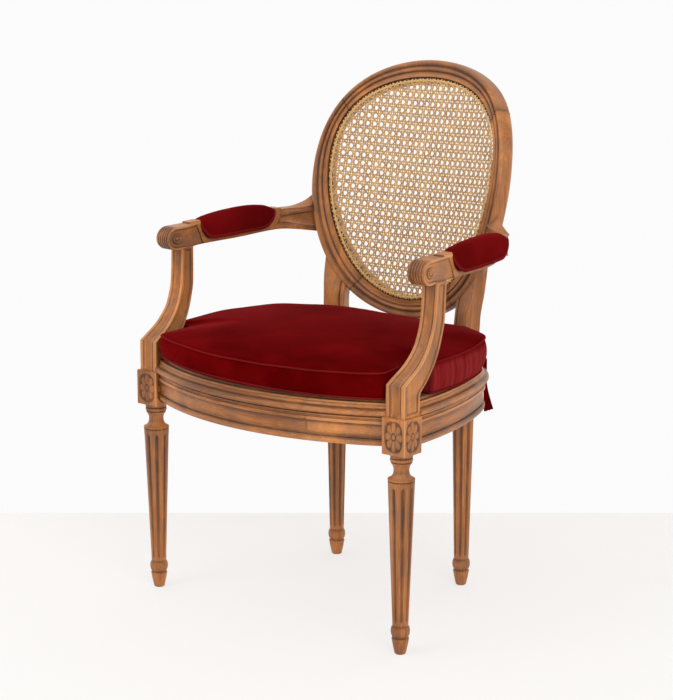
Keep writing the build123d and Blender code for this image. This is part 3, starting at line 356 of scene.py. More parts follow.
def grid_faces(rows, columns, wraps):
    """Corner numbers of the quads of a grid; the last column joins the first, and the last row if it wraps."""
    i, j = np.meshgrid(np.arange(rows if wraps else rows - 1), np.arange(columns), indexing="ij")
    below = (i + 1) % rows
    beside = (j + 1) % columns
    corners = [i * columns + j, below * columns + j, below * columns + beside, i * columns + beside]
    return np.stack(corners, axis=-1).reshape(-1, 4)


def mirrored(grids):
    """The same grids on the other side of the chair's middle plane."""
    return [dict(one, points=one["points"] * np.array([-1.0, 1.0, 1.0])) for one in grids]


def both_sides(grids):
    """The grids of the right side, and their mirror image for the left, each with its side's name."""
    return ("right", grids), ("left", mirrored(grids))


def linked(name, data):
    """A new object in the scene."""
    made = bpy.data.objects.new(name, data)
    bpy.context.scene.collection.objects.link(made)
    return made


def piece(name, grids, material, hides=(), crease=38.0):
    """Joins grids into one mesh object that rides on the chair and stands for its CAD nodes."""
    faces, start = [], 0
    for one in grids:
        rows, columns = one["points"].shape[:2]
        faces.append(grid_faces(rows, columns, one["wraps"]) + start)
        start += rows * columns
    points = np.concatenate([one["points"].reshape(-1, 3) for one in grids])
    wax = np.concatenate([one["wax"].reshape(-1) for one in grids])
    mesh = bpy.data.meshes.new(name)
    mesh.from_pydata(points, [], np.concatenate(faces))
    mesh.attributes.new("wax", "FLOAT", "POINT").data.foreach_set("value", wax.astype(np.float32))
    tidy_mesh(mesh)
    mesh.set_sharp_from_angle(angle=math.radians(crease))
    made = linked(name, mesh)
    mesh.materials.append(material)
    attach(made, "root")
    if hides:
        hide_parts(*hides)
    return made


def tidy_mesh(mesh):
    """Merges poles and seams, turns faces outwards and shades them smooth."""
    work = bmesh.new()
    work.from_mesh(mesh)
    bmesh.ops.remove_doubles(work, verts=work.verts, dist=1e-6)
    bmesh.ops.recalc_face_normals(work, faces=work.faces)
    for face in work.faces:
        face.smooth = True
    work.to_mesh(mesh)
    work.free()


def dress(node, material):
    """Gives a CAD node's object a finish."""
    slots = bpy.data.objects[node].data.materials
    slots.clear()
    slots.append(material)


def tube(path, radius, sides=8):
    """Round tube along a closed path: circles in the plane of the path's normal and binormal."""
    ahead = np.roll(path, -1, axis=0) - np.roll(path, 1, axis=0)
    ahead /= np.linalg.norm(ahead, axis=1, keepdims=True)
    side = np.cross(ahead, UP)
    side /= np.maximum(np.linalg.norm(side, axis=1, keepdims=True), 1e-9)
    over = np.cross(side, ahead)
    turn = np.arange(sides) * 2 * np.pi / sides
    ring = np.cos(turn)[None, :, None] * side[:, None] + np.sin(turn)[None, :, None] * over[:, None]
    return grid(path[:, None] + radius * ring, wrap_rows=True)


# Materials


class Nodes:
    """Short way to lay out a material's nodes."""

    def __init__(self, name):
        self.material = bpy.data.materials.new(name)
        self.material.use_nodes = True
        self.tree = self.material.node_tree
        self.shader = self.tree.nodes["Principled BSDF"]

    def add(self, kind, inputs=None, **settings):
        """A node with its settings and inputs; an input is a value or another node's output."""
        node = self.tree.nodes.new(kind)
        for key, value in settings.items():
            setattr(node, key, value)
        for key, value in (inputs or {}).items():
            self.join(node.inputs[key], value)
        return node

    def join(self, socket, value):
        """Links an output to a socket, or sets the socket to a plain value."""
        if isinstance(value, bpy.types.NodeSocket):
            self.tree.links.new(value, socket)
        else:
            socket.default_value = value

    def place(self):
        """Places on the object, in its own coordinates."""
        return self.add("ShaderNodeTexCoord").outputs["Object"]

    def mapping(self, coordinates, **settings):
        """Coordinates that are turned, shifted or stretched."""
        return self.add("ShaderNodeMapping", {"Vector": coordinates, **settings}).outputs["Vector"]

    def noise(self, coordinates, scale, detail=3.0, roughness=0.55):
        """Noise over coordinates, from 0 to 1."""
        inputs = {"Vector": coordinates, "Scale": scale, "Detail": detail, "Roughness": roughness}
        return self.add("ShaderNodeTexNoise", inputs).outputs["Fac"]

    def stretch(self, value, low, high, to_low=0.0, to_high=1.0):
        """Maps a range of values to another one, clamped."""
        inputs = {"Value": value, "From Min": low, "From Max": high, "To Min": to_low, "To Max": to_high}
        return self.add("ShaderNodeMapRange", inputs).outputs["Result"]

    def maths(self, kind, first, second):
        """One operation on two values."""
        return self.add("ShaderNodeMath", {0: first, 1: second}, operation=kind).outputs[0]

    def times(self, first, second):
        """Product of two values."""
        return self.maths("MULTIPLY", first, second)

    def weighted(self, first, first_share, second, second_share):
        """Sum of two values, each times its share."""
        return self.maths("ADD", self.times(first, first_share), self.times(second, second_share))

    def blend(self, share, first, second):
        """Mixes two colours, each a colour property or another node's output."""
        node = self.add("ShaderNodeMix", {"Factor": share}, data_type="RGBA")
        for socket, tone in ((6, first), (7, second)):
            self.join(node.inputs[socket], tone if isinstance(tone, bpy.types.NodeSocket) else rgba(tone))
        return node.outputs[2]

    def bump(self, height, strength, distance):
        """Normal of a bumpy surface."""
        inputs = {"Height": height, "Strength": strength, "Distance": distance}
        return self.add("ShaderNodeBump", inputs).outputs["Normal"]

    def mixed(self, share, first, second):
        """Mixes two shaders."""
        return self.add("ShaderNodeMixShader", {0: share, 1: first, 2: second}).outputs["Shader"]

    def finish(self, inputs):
        """Sets inputs of the shader and returns the material."""
        for key, value in inputs.items():
            self.join(self.shader.inputs[key], value)
        return self.material


def rgba(colour_property):
    """A colour property as four numbers."""
    return (*colour_property, 1.0)


# Mapping rotations that lay the grain of a piece along the pattern's X axis
GRAIN_UP = (0.0, math.radians(90), 0.0)
GRAIN_ACROSS = (0.0, 0.0, 0.0)


def grain_towards(degrees):
    """Mapping rotation for grain that lies level, at an angle from the X axis."""
    return (0.0, 0.0, math.radians(-degrees))


def wood(name, grain, shift, greyer=0.0):
    """Waxed beech: streaks and pores along the grain, dark wax and painted shade in the grooves and light
    rubbed edges.

    The shift gives each piece another part of the pattern, and greyer is how much more of it has dull wax.
    """
    colours = bpy.context.scene.chair_colours
    n = Nodes(name)
    place = n.place()
    along = n.mapping(place, Rotation=grain, Location=shift)
    band = n.noise(n.mapping(along, Scale=(2.2, 26.0, 26.0)), 1.0, 4.0)
    fibre = n.noise(n.mapping(along, Scale=(14.0, 420.0, 420.0)), 1.0, 3.0)
    pore = n.stretch(n.noise(n.mapping(along, Scale=(90.0, 1500.0, 1500.0)), 1.0, 2.0), 0.60, 0.72)
    patina = n.noise(place, 24.0, 4.0)
    share = n.stretch(n.weighted(band, 0.65, fibre, 0.35), 0.38, 0.62)
    tone = n.blend(share, colours.wood_dark, colours.wood_light)
    spread = n.weighted(patina, 0.7, band, 0.3)
    dull = n.stretch(spread, 0.44 - greyer, 0.62 - greyer, 0.0, 0.62 + greyer)
    tone = n.blend(dull, tone, colours.wood_dull)
    tone = n.blend(n.times(pore, 0.45), tone, colours.wood_dark)
    wax = n.add("ShaderNodeAttribute", attribute_name="wax").outputs["Fac"]
    tone = n.blend(n.times(n.stretch(wax, 0.0, -1.0), 0.85), tone, colours.wood_worn)
    # Glaze colour where the wax attribute is high: dark wax, and painted shade in grooves, under the cushion
    # and at the oval.
    glaze_and_shade_share = n.times(n.stretch(wax, 0.0, 1.0), n.stretch(patina, 0.2, 0.6, 0.6, 1.0))
    tone = n.blend(n.times(glaze_and_shade_share, 0.95), tone, colours.glaze_and_shade)
    return n.finish({
        "Base Color": tone,
        "Roughness": n.stretch(fibre, 0.2, 0.8, 0.3, 0.48),
        "Specular IOR Level": 0.35,
        "Normal": n.bump(n.maths("ADD", fibre, n.times(pore, -0.6)), 0.22, 0.0004),
    })


def velvet(name, gathered=False, painted_light_share=0.0):
    """Cotton velvet: deep red pile with brushed lighter patches, soft folds and a sheen at grazing angles.

    Gathered velvet has upright folds on the cushion's boxing, and is paler on the right: painted light from the
    right, shown as pile that lies over. Otherwise a given share of paler velvet is painted on as painted sheen.
    """
    colours = bpy.context.scene.chair_colours
    n = Nodes(name)
    place = n.place()
    brushed = n.noise(place, 8.0, 3.0, 0.55)
    pile = n.noise(place, 1900.0, 2.0)
    folds = n.noise(place, 38.0, 2.0)
    if gathered:
        axes = n.add("ShaderNodeSeparateXYZ", {"Vector": place}).outputs
        boxing = n.stretch(axes["Z"], CUSHION_BOTTOM + 42 * MM, CUSHION_BOTTOM + 54 * MM, 1.0, 0.0)
        gathers = n.noise(n.mapping(place, Scale=(105.0, 105.0, 9.0)), 1.0, 2.0)
        folds = n.maths("ADD", folds, n.times(n.times(gathers, 1.6), boxing))
        # Painted light from the right: the right of the boxing is painted paler, broken by the gathers.
        right = n.times(n.stretch(axes["X"], 0.12, 0.24), n.stretch(axes["Y"], LEG_Y, LEG_Y + 60 * MM))
        painted_light_right = n.times(right, n.stretch(gathers, 0.3, 0.66, 0.27, 0.68))
        painted_light_share = n.times(painted_light_right, boxing)
    tone = n.blend(n.stretch(brushed, 0.36, 0.74), colours.velvet_deep, colours.velvet_light)
    return n.finish({
        # Paler velvet painted on by its share, as painted sheen and painted light.
        "Base Color": n.blend(painted_light_share, tone, colours.velvet_painted_light),
        "Roughness": 0.85,
        "Specular IOR Level": 0.0,
        "Sheen Weight": 0.26,
        "Sheen Roughness": 0.28,
        "Sheen Tint": (0.95, 0.12, 0.13, 1.0),
        "Normal": n.bump(n.maths("ADD", n.times(pile, 0.25), folds), 0.3, 0.0012),
    })


def cane(name, darker=0.0):
    """Split rattan: golden strands with aged streaks."""
    colours = bpy.context.scene.chair_colours
    n = Nodes(name)
    place = n.place()
    aged = n.noise(place, 60.0, 4.0, 0.65)
    streak = n.noise(place, 700.0, 2.0)
    share = n.stretch(n.weighted(aged, 0.6, streak, 0.4), 0.34 + darker, 0.62 + darker)
    return n.finish({
        "Base Color": n.blend(share, colours.cane_dark, colours.cane_light),
        "Roughness": n.stretch(aged, 0.3, 0.7, 0.34, 0.5),
        "Normal": n.bump(streak, 0.2, 0.0002),
    })


def paint(name, tone, lit, glow):
    """Matt paint, a share of it evenly lit as the camera and reflections see it, and clear from its back."""
    n = Nodes(name)
    made = n.finish({"Base Color": rgba(tone), "Roughness": 0.9, "Specular IOR Level": 0.0})
    light = n.add("ShaderNodeLightPath").outputs
    seen = n.maths("MAXIMUM", light["Is Glossy Ray"], light["Is Transmission Ray"])
    seen = n.maths("MAXIMUM", light["Is Camera Ray"], seen)
    even = n.add("ShaderNodeEmission", {"Color": lit}).outputs["Emission"]
    front = n.mixed(n.times(seen, glow), n.shader.outputs["BSDF"], even)
    back = n.add("ShaderNodeNewGeometry").outputs["Backfacing"]
    clear = n.add("ShaderNodeBsdfTransparent").outputs["BSDF"]
    n.join(n.tree.nodes["Material Output"].inputs["Surface"], n.mixed(back, front, clear))
    return made


# Legs and uprights


def turning(rear):
    """Side outline of a turned leg as (height, radius) runs from the floor up, with its dark lines of wax and
    painted shade.
    """
    runs = [
        (0.0, 0.5, 0.0, 3, 0.3),
        (0.0, 8.0, 0.0, 2, 0.3),
        (1.2, 9.2, -0.3, 8, 0.0),
        (26.0, 14.3, 0.0, 2, 0.0),
        (27.0, 14.2, 0.0, 2, 0.5),
        (28.2, 12.6, 0.0, 2, 1.0),
        (31.0, 12.6, 0.0, 1, 1.0),
        (31.4, 14.2, -1.5, 10, 0.4),
        (46.4, 14.4, 0.0, 2, 0.3),
        (47.3, 13.0, 0.0, 2, 0.9),
        (49.0, 13.05, 0.0, 2, 0.6),
    ]
    if rear:
        runs += [(52.0, 13.1, 0.0, 110, 0.0), (343.0, 19.35, 0.0, 3, 0.2), (346.5, 19.4, 0.0, 1, 0.8)]
    else:
        runs += [
            (52.0, 13.15, 0.0, 100, 0.0),
            (290.2, 21.85, 0.0, 1, 0.3),
            (290.8, 21.0, 0.0, 1, 1.0),
            (291.8, 21.0, 0.0, 1, 1.0),
            (292.3, 22.2, 0.0, 2, 0.2),
            (294.4, 22.0, 2.2, 9, -0.3),
            (306.0, 12.8, 1.6, 9, 0.35),
            (320.0, 16.9, 0.0, 2, 0.2),
            (321.6, 17.3, 0.0, 1, 0.5),
            (322.0, 16.4, 0.0, 1, 1.0),
            (323.0, 16.4, 0.0, 1, 1.0),
            (323.4, 17.9, -0.7, 6, 0.4),
            (328.6, 17.9, 0.0, 1, 0.6),
            (329.0, 17.0, 0.0, 1, 1.0),
            (330.0, 17.0, 0.0, 1, 1.0),
            (330.4, 18.4, 0.0, 3, 0.4),
            (336.2, 18.4, 0.0, 1, 0.9),
        ]
    outline, wax = moulding(runs, closed=False)
    return outline[:, 0], outline[:, 1], wax


def turned_leg(foot, rear, turn):
    """Turned leg with flutes: radius(height) less the flutes, round an upright axis.

    A flute is depth * sqrt(1 - (x / half width)^2) deep, x being the way round from its middle,
    and its half width runs out in a half circle at each end.
    """
    sizes = bpy.context.scene.chair_sizes
    z, radius, wax = turning(rear)
    low = SHAFT_BOTTOM + 9 * MM
    high = (RAIL_BOTTOM if rear else FRONT_SHAFT_TOP) - 10 * MM
    columns = FLUTES * FLUTE_COLUMNS
    angle = np.arange(columns) * 2 * np.pi / columns
    off_middle = (angle * FLUTES / (2 * np.pi) + 0.5) % 1.0 - 0.5
    x = off_middle[None, :] * 2 * np.pi / FLUTES * radius[:, None]
    share = np.clip((z - low) / (high - low), 0.0, 1.0)
    half = (2.2 + 1.7 * share) * MM
    from_end = np.minimum(z - low, high - z)
    half = half * arch(np.clip(1 - from_end / half, 0.0, 1.0), 1.0)
    open_row = (half > 1e-5)[:, None]
    half = np.maximum(half, 1e-5)[:, None]
    cut = open_row * arch(x, half) * (0.65 + 0.35 * share[:, None])
    r = radius[:, None] - sizes.flute_depth * cut
    way = angle[None, :] + turn
    plan = np.stack([foot[0] + r * np.cos(way), foot[1] + r * np.sin(way)], -1)
    # The flutes are painted darker by how deep they are cut: dark wax and painted shade in the grooves.
    return grid(at_height(plan, z[:, None]), np.maximum(wax[:, None], cut))


def rosette(across, rise):
    """A tall rosette: its height from 0 to 1, and where its sunk ground lies, from 0 to 1.

    Eight petals, each half an ellipse over a rim that comes in between the petals, with a dip round a
    button. The ground is a rounded rectangle a little larger than the rosette.
    """
    x = across / ROSETTE_HALF_WIDTH
    y = rise / ROSETTE_HALF_HEIGHT
    far = np.hypot(x, y)
    petal = np.abs(np.cos(4 * np.arctan2(y, x))) ** 0.7
    rim = 0.84 + 0.22 * petal
    leaf = np.clip(1 - (far / rim) ** 4, 0.0, 1.0) ** 0.6 * (0.25 + 0.75 * petal**0.8)
    leaf = leaf * ease((far - 0.2) / 0.16)
    button = arch(far, 0.22)
    ground = ease((1.1 - (np.abs(x) ** 3 + np.abs(y) ** 3) ** (1 / 3)) / 0.1)
    return np.maximum(leaf, button * 1.1), ground


def square_block(middle, side, bottom, top, turn, carved):
    """Square block: four faces round an upright axis, each with a rosette in a sunk ground if carved."""
    sizes = bpy.context.scene.chair_sizes
    half = side / 2
    flat = half - CHAMFER
    z = np.concatenate([[bottom], np.linspace(bottom + CHAMFER, top - CHAMFER, 61), [top]])
    p, rise = np.meshgrid(np.linspace(-flat, flat, 47), z - (bottom + top) / 2)
    sunk = np.zeros_like(p)
    wax = np.zeros_like(p)
    if carved:
        relief, ground = rosette(p, rise)
        sunk = sizes.rosette_depth * ground * (1 - relief)
        line = bell(relief - 0.16, 0.2)
        # The sunk ground round the rosette is darkened: dark wax and painted shade in the recess.
        wax = ground * np.clip(0.4 * (1 - relief) + 0.75 * line, 0.0, 1.0)
    wax = wax - 0.7 * (np.abs(p) > flat - 0.4 * MM)
    shrink = np.zeros((len(z), 1))
    shrink[[0, -1]] = CHAMFER
    out = half - shrink - sunk
    beside = p * (1 - shrink / half)
    faces = []
    for a in turn + np.arange(4) * np.pi / 2:
        x = middle[0] + out * np.cos(a) - beside * np.sin(a)
        y = middle[1] + out * np.sin(a) + beside * np.cos(a)
        faces.append(at_height(np.stack([x, y], -1), z[:, None]))
    return grid(np.concatenate(faces, axis=1), np.tile(wax, 4))


def stile():
    """Stile from the seat block to the oval: a rounded rectangle carried through four sections.

    The section is drawn 20 by 20 and stretched to each width and thickness. The side that faces the sitter has
    a bead along its inner edge. What would stand inside the oval's middle line is drawn back to that line.
    """
    turn_foot = math.asin(REAR_LEG_X / BACK_RADIUS)
    foot = np.array([REAR_LEG_X, REAR_LEG_Y, RAIL_TOP - 4 * MM])
    spread = np.array([140.5, 142.0, 142.5]) * MM
    drop = np.array([212.0, 162.0, 106.0]) * MM
    middles = np.vstack([foot, back_point(spread, -drop, -17 * MM)])
    across, facing = back_ways(np.arcsin(spread / BACK_RADIUS))
    across = np.vstack([[math.cos(turn_foot), -math.sin(turn_foot), 0], across])
    facing = np.vstack([[-math.sin(turn_foot), -math.cos(turn_foot), 0], facing])
    places = middles[:, 2]
    at = np.linspace(places[0], places[-1], 64)

    def through(values):
        return np.stack([smooth_run(at, places, column) for column in values.T], -1)

    middle, across, facing = through(middles), through(across), through(facing)
    wide = smooth_run(at, places, np.array([38.0, 39.0, 47.0, 48.0]) * MM / 2)
    thick = smooth_run(at, places, np.array([34.0, 29.0, 25.0, 23.0]) * MM / 2)
    outline, wax = moulding([
        (10.0, -9.0, 0.0, 8, 0.0),
        (10.0, 8.6, 0.9, 4, 0.0),
        (8.4, 10.0, 0.0, 6, 0.0),
        (-4.6, 10.0, 0.0, 1, 0.5),
        (-5.0, 8.9, 0.0, 1, 1.0),
        (-5.8, 8.9, 0.0, 1, 1.0),
        (-6.2, 10.0, 1.0, 7, 0.4),
        (-10.0, 8.2, 0.0, 8, 0.1),
        (-10.0, -9.0, 0.9, 4, 0.0),
        (-8.6, -10.0, 0.0, 6, 0.0),
        (8.6, -10.0, 0.9, 4, 0.0),
    ])
    u, v = outline.T / (10 * MM)
    points = (
        middle[:, None]
        + (wide[:, None] * u)[..., None] * across[:, None]
        + (thick[:, None] * v)[..., None] * facing[:, None]
    )
    rise = (points - BACK_MIDDLE) @ BACK_UP
    half_width, half_height, egg = ((a + b) / 2 for a, b in zip(OPENING, RIM))
    share = np.clip(rise / half_height, -1.0, 1.0)
    line = half_width * np.sqrt(1 - share**2) * (1 + egg * share)
    points[..., 0] = np.maximum(points[..., 0], line)
    return grid(points, wax)


# Outwards from the opening and proud of the back's face, as moulding() takes it
OVAL_SECTION = [
    (16.0, -31.0, 4.4, 16, 0.1),
    (28.0, -9.0, 0.0, 4, 0.0),
    (28.0, -6.0, 3.1, 14, 0.0),
    (19.6, -1.4, 0.0, 2, 0.8),
    (18.8, -3.6, 0.0, 2, 1.0),
    (17.6, -3.6, 0.0, 2, 1.0),
    (17.0, -1.6, 2.1, 12, 0.8),
    (9.8, -1.2, 0.0, 2, 0.8),
    (9.2, -3.0, 0.0, 2, 1.0),
    (8.4, -3.0, 0.0, 2, 1.0),
    (7.9, -1.0, -0.8, 8, 0.5),
    (1.2, -0.2, 0.0, 2, 0.0),
    (0.4, 0.0, 0.0, 1, -0.6),
    (0.0, -0.4, 0.0, 3, 0.1),
    (0.0, -5.0, 0.0, 1, 1.0),
    (-3.0, -5.0, 0.0, 1, 1.0),
    (-6.0, -5.0, 0.0, 1, 1.0),
    (-9.0, -5.0, 0.0, 6, 1.0),
    (-9.0, -30.0, 0.0, 1, 0.0),
    (-8.0, -31.0, 0.0, 6, 0.0),
]


def oval_piece(first, last):
    """One length of the oval: its moulding carried round from one joint angle to the next.

    A thin dark line lies at each joint, where the moulding is a hair lower. At the shoulders, 48 degrees
    up on both sides, the back is less rounded.
    """
    joint = bpy.context.scene.chair_sizes.joint_line
    outline, wax = moulding(OVAL_SECTION)
    square, _ = moulding([(23.0, -31.0, 2.0, 16, 0.1), (28.0, -20.0, 0.0, 4, 0.0), *OVAL_SECTION[2:]])
    steps = int(abs(last - first) / OVAL_ROW)
    edge = math.degrees(joint / 2 / OVAL_RADIUS)
    between = np.linspace(first + 2 * edge, last - 2 * edge, steps)
    angle = np.concatenate([[first, first + edge], between, [last - edge, last]])
    inner = np.stack(oval_at(angle, OPENING), -1)
    rim = np.stack(oval_at(angle, RIM), -1)
    up_side = 90 - np.abs(angle - 90)
    fuller = (ease((up_side - 14) / 34) * ease((86 - up_side) / 38))[:, None]
    shape = outline + fuller[..., None] * (square - outline)
    flat = inner[:, None] + shape[..., :1] / OVAL_WIDTH * (rim - inner)[:, None]
    low = np.zeros(len(angle))
    low[[0, -1]] = 0.6 * MM
    points = back_point(flat[..., 0], flat[..., 1], shape[..., 1] - low[:, None])
    from_joint = np.minimum(angle - first, last - angle)
    dark = np.where(from_joint < 1.5 * edge, 1.0, 0.5 * np.exp(-from_joint / 3.0))
    return grid(points, np.maximum(wax[None, :], dark[:, None]))


# Seat rails

# Out from the fascia and up from the rail's bottom, as moulding() takes it
RAIL_SECTION = [
    (0.0, 0.0, 2.6, 12, 0.2),
    (0.0, 10.8, 0.0, 1, 1.0),
    (-1.6, 11.0, 0.0, 2, 1.0),
    (-1.6, 13.4, 0.0, 1, 1.0),
    (0.0, 13.6, -0.9, 9, 0.6),
    (0.0, 34.6, 0.0, 2, 0.8),
    (2.8, 36.0, 0.0, 4, 0.0),
    (2.8, 40.6, 0.0, 1, -0.5),
    (2.3, 41.0, 0.0, 1, 0.3),
    (1.2, 41.0, 0.0, 2, 1.0),
    (1.2, 43.0, -1.0, 4, 0.8),
    (1.8, 46.8, 0.0, 1, 0.7),
    (1.0, 47.2, 0.0, 1, 1.0),
    (1.0, 48.6, 7.0, 16, 1.0),
    (2.8, 61.0, -0.9, 7, 0.8),
    (-1.6, 66.0, 0.0, 3, 0.6),
    (-1.6, 68.8, 0.0, 1, -0.5),
    (-2.3, 69.5, 0.0, 2, -0.3),
    # Full wax on the flat top under the cushion: painted shadow cast by the cushion's overhang.
    (-5.0, 69.5, 0.0, 2, 1.0),
    (-8.0, 69.5, 0.0, 2, 1.0),
    (-10.0, 73.9, 0.0, 2, 1.0),
    (-15.0, 73.9, 0.0, 2, 1.0),
    (-20.0, 73.9, 0.0, 3, 1.0),
    (-20.0, 68.9, 0.0, 4, 0.5),
    (-34.0, 68.9, 0.0, 8, 0.3),
    (-34.0, 0.0, 0.0, 8, 0.2),
]


def front_rail():
    """Front rail: the rail's section round a level arc, sawn off square at the stumps of the posts.

    A point of the section at distance d from the fascia runs at radius + d, to the angle where
    sin(angle) = stump / (radius + d). A dark line on its fascia marks where its two lengths meet, and the right
    one is paler.
    """
    outline, wax = moulding(RAIL_SECTION)
    reach = FRONT_RADIUS + outline[:, 0]
    end = np.arcsin((STUMP_INNER + 0.3 * MM) / reach)
    angle = np.linspace(-1.0, 1.0, 241)[:, None] * end[None, :]
    middle = LEG_Y - FRONT_BOW + FRONT_RADIUS
    plan = np.stack([reach * np.sin(angle), middle - reach * np.cos(angle)], -1)
    points = at_height(plan, RAIL_BOTTOM + outline[:, 1])
    past = plan[..., 0] - FRONT_JOINT
    line = 0.4 * bell(past, 1.4 * MM) + 0.25 * bell(past, 8 * MM)
    line = line * (np.abs(outline[:, 1] - 24 * MM) < 14 * MM)
    return grid(points, np.maximum(wax, line) - 0.3 * ease(past / (3 * MM)) * (wax < 0.4))


def side_rail():
    """Side rail: the rail's section along the side arc and then round the tighter rear corner."""
    outline, wax = moulding(RAIL_SECTION)
    start = math.asin((BLOCK_SIDE / 2 - 27.4 * MM) / SIDE_RADIUS)
    side = np.linspace(start, CORNER_START, 60)
    corner = np.linspace(CORNER_START, math.radians(60), 40)[1:]
    angle = np.concatenate([side, corner])
    out = np.stack([np.cos(angle), np.sin(angle)], -1)
    on_side = SIDE_CENTER + SIDE_RADIUS * out[: len(side)]
    fascia = np.concatenate([on_side, CORNER_CENTER + CORNER_RADIUS * out[len(side):]])
    plan = fascia[:, None] + outline[None, :, :1] * out[:, None]
    return grid(at_height(plan, RAIL_BOTTOM + outline[:, 1]), wax)


# Posts and arms


def arm_post():
    """Post from the block to the arm: level rectangles whose front, rear, width and turn follow its height.

    The front is worked to a bead, a cove and a bead, and each side has a sunk panel with a border.
    """
    heights = np.array([POST_FOOT, 428.0 * MM, POST_SWEEP, 477.0 * MM, 507.0 * MM, 545.0 * MM, 602.0 * MM])
    low = np.concatenate([[POST_FOOT], np.linspace(397.0, 447.4, 34) * MM, [POST_SWEEP]])
    high = np.concatenate([np.linspace(448.6, 600.0, 76), [603.5]]) * MM
    z = np.concatenate([low, high])
    front = np.concatenate([
        np.full(len(low), -18.0 * MM),
        smooth_run(high, heights[2:], np.array([-18.0, 26.5, 50.0, 61.5, 65.5]) * MM),
    ])
    rear = smooth_run(z, heights, np.array([22.8, 23.4, 42.0, 65.5, 80.0, 88.5, 90.5]) * MM)
    wide = smooth_run(z, heights, np.array([37.5, 37.5, 37.5, 33.0, 30.0, 30.0, 30.0]) * MM) / 2
    lean = smooth_run(z, heights, [0.0, 0.0, 0.0, 0.4, 0.6, 0.8, 1.0])
    u, v = square_ring(np.linspace(-0.965, 0.965, 37), np.linspace(-0.965, 0.965, 31))
    half_deep = (rear - front)[:, None] / 2
    x = wide[:, None] * u
    y = half_deep * v

    on_front = v == -1
    across = np.abs(u)
    slope = np.clip((z - POST_SWEEP) / (20 * MM), 0.0, 1.0)[:, None]
    cove = arch(across, 0.52)
    bead = arch(across - 0.78, 0.19)
    deep = on_front * (3.4 * MM * cove - 1.4 * MM * bead + 0.9 * MM * (across > 0.55))
    ends = ease((z - POST_FOOT - 4 * MM) / (3 * MM)) * ease((POST_TOP - z) / (3 * MM))
    y = y + deep * ends[:, None]
    quirk = on_front * bell(across - 0.56, 0.05)

    on_side = np.abs(u) == 1
    edge = np.minimum(half_deep - np.abs(y), np.minimum(z - POST_FOOT, POST_TOP - z)[:, None])
    panel = on_side * ease((edge - 6.0 * MM) / (1.3 * MM))
    x = x - np.sign(u) * 1.5 * MM * panel
    rim_line = on_side * bell(edge - 6.4 * MM, 1.1 * MM)

    turn = (lean * ARM_SPLAY)[:, None]
    middle_x = (LEG_X + lean * 4.4 * MM)[:, None]
    middle_y = (LEG_Y + (front + rear) / 2)[:, None]
    plan_x = middle_x + x * np.cos(turn) - y * np.sin(turn)
    plan_y = middle_y + x * np.sin(turn) + y * np.cos(turn)
    points = at_height(np.stack([plan_x, plan_y], -1), z[:, None])
    # Dark wax and painted shade in the quirks, the cove, the panel borders and the sunk panels.
    wax = quirk + 0.5 * on_front * cove**3 * (1 - slope * 0.3) + rim_line + 0.12 * panel
    edges = (np.abs(u) > 0.94) & (np.abs(v) > 0.94)
    return grid(points, np.clip(wax, 0.0, 1.0) - 0.7 * edges - 0.35 * on_front * bead)


def arm_seat():
    """Flat housing where the arm meets the oval: a point of its plane, its normal and the oval's facing."""
    angle = -math.degrees(math.asin((BACK_MIDDLE[2] - ARM_END) / RIM[1]))
    inner = back_point(*oval_at(angle, OPENING))
    outward = back_point(*oval_at(angle, RIM)) - inner
    width = np.linalg.norm(outward)
    outward = outward / width
    x = (oval_at(angle, OPENING)[0] + oval_at(angle, RIM)[0]) / 2
    _, facing = back_ways(math.asin(x / BACK_RADIUS))
    return inner + outward * (width - HOUSING), outward, facing


def along_arm(along, out, z):
    """Points from distances along the arm, outwards from its middle line, and heights."""
    along, out, z = np.broadcast_arrays(along, out, z)
    return ARM_ORIGIN + along[..., None] * ARM_WAY + out[..., None] * ARM_OUT + z[..., None] * UP


def arm_place(point):
    """Distance of a point along the arm and outwards from its middle line."""
    away = point - ARM_ORIGIN
    return away @ ARM_WAY, away @ ARM_OUT


def lip(along, end, reach):
    """How high the wood stands round the end of a pad: a quarter circle, 1 at the end and 0 a reach away."""
    share = np.clip(1 - np.abs(along - end) / reach, 0.0, 1.0)
    return 1 - arch(share, 1.0)


def shoulder(along):
    """Height of the wood that a pad rests on, along the arm."""
    return ARM_UNDER + (9.0 + 6.0 * np.clip((along - PAD_START) / (PAD_END - PAD_START), 0.0, 1.0)) * MM


def arm_stations():
    """Plan of the arm: its inner and outer edge, along it and outwards from its middle line, and its tip.

    The scroll is narrow and lies inwards, the wood is widest under the pad, and the neck swings in to the
    oval. Behind the collar the two edges run on separately, so that both end on the seat's plane.
    """
    seat, seat_way, facing = arm_seat()
    s = np.concatenate([
        -SCROLL_RADIUS * np.cos(np.linspace(0.02, np.pi / 2, 30)),
        np.linspace(1.2, 39.0, 34) * MM,
        np.linspace(39.6, 40.6, 4) * MM,
        np.linspace(41.4, 65.5, 20) * MM,
        PAD_START + 22 * MM * np.linspace(0.015, 1.0, 18) ** 2,
        np.linspace(PAD_START + 26 * MM, PAD_END - 26 * MM, 24),
        PAD_END - 22 * MM * np.linspace(1.0, 0.015, 18) ** 2,
        np.linspace(PAD_END, COLLAR_END, 15),
    ])
    edges = []
    for deep, values in (
        (2.4, (-20.3, -20.3, -11.0, -17.0, -21.0, -22.5)),
        (30.0, (10.5, 10.5, 11.0, 16.5, 4.5, 0.5)),
    ):
        far, out = arm_place(seat - INTO_OVAL * seat_way - deep * MM * facing)
        places = np.array([-0.03, 0.019, PAD_START, 0.155, PAD_END, COLLAR_END + 9 * MM, far])
        values = np.append(np.array(values) * MM, out)
        dense = np.linspace(COLLAR_END, far, 400)
        line = smooth_run(dense, places, values)
        flat = along_arm(dense, line, ARM_END)
        last = np.interp(0.0, -((flat - seat) @ seat_way), dense)
        run = np.concatenate([s, np.linspace(COLLAR_END, last, 46)[1:]])
        edges.append(np.stack([run, smooth_run(run, places, values)], -1))
    return edges[0], edges[1], far + INTO_OVAL


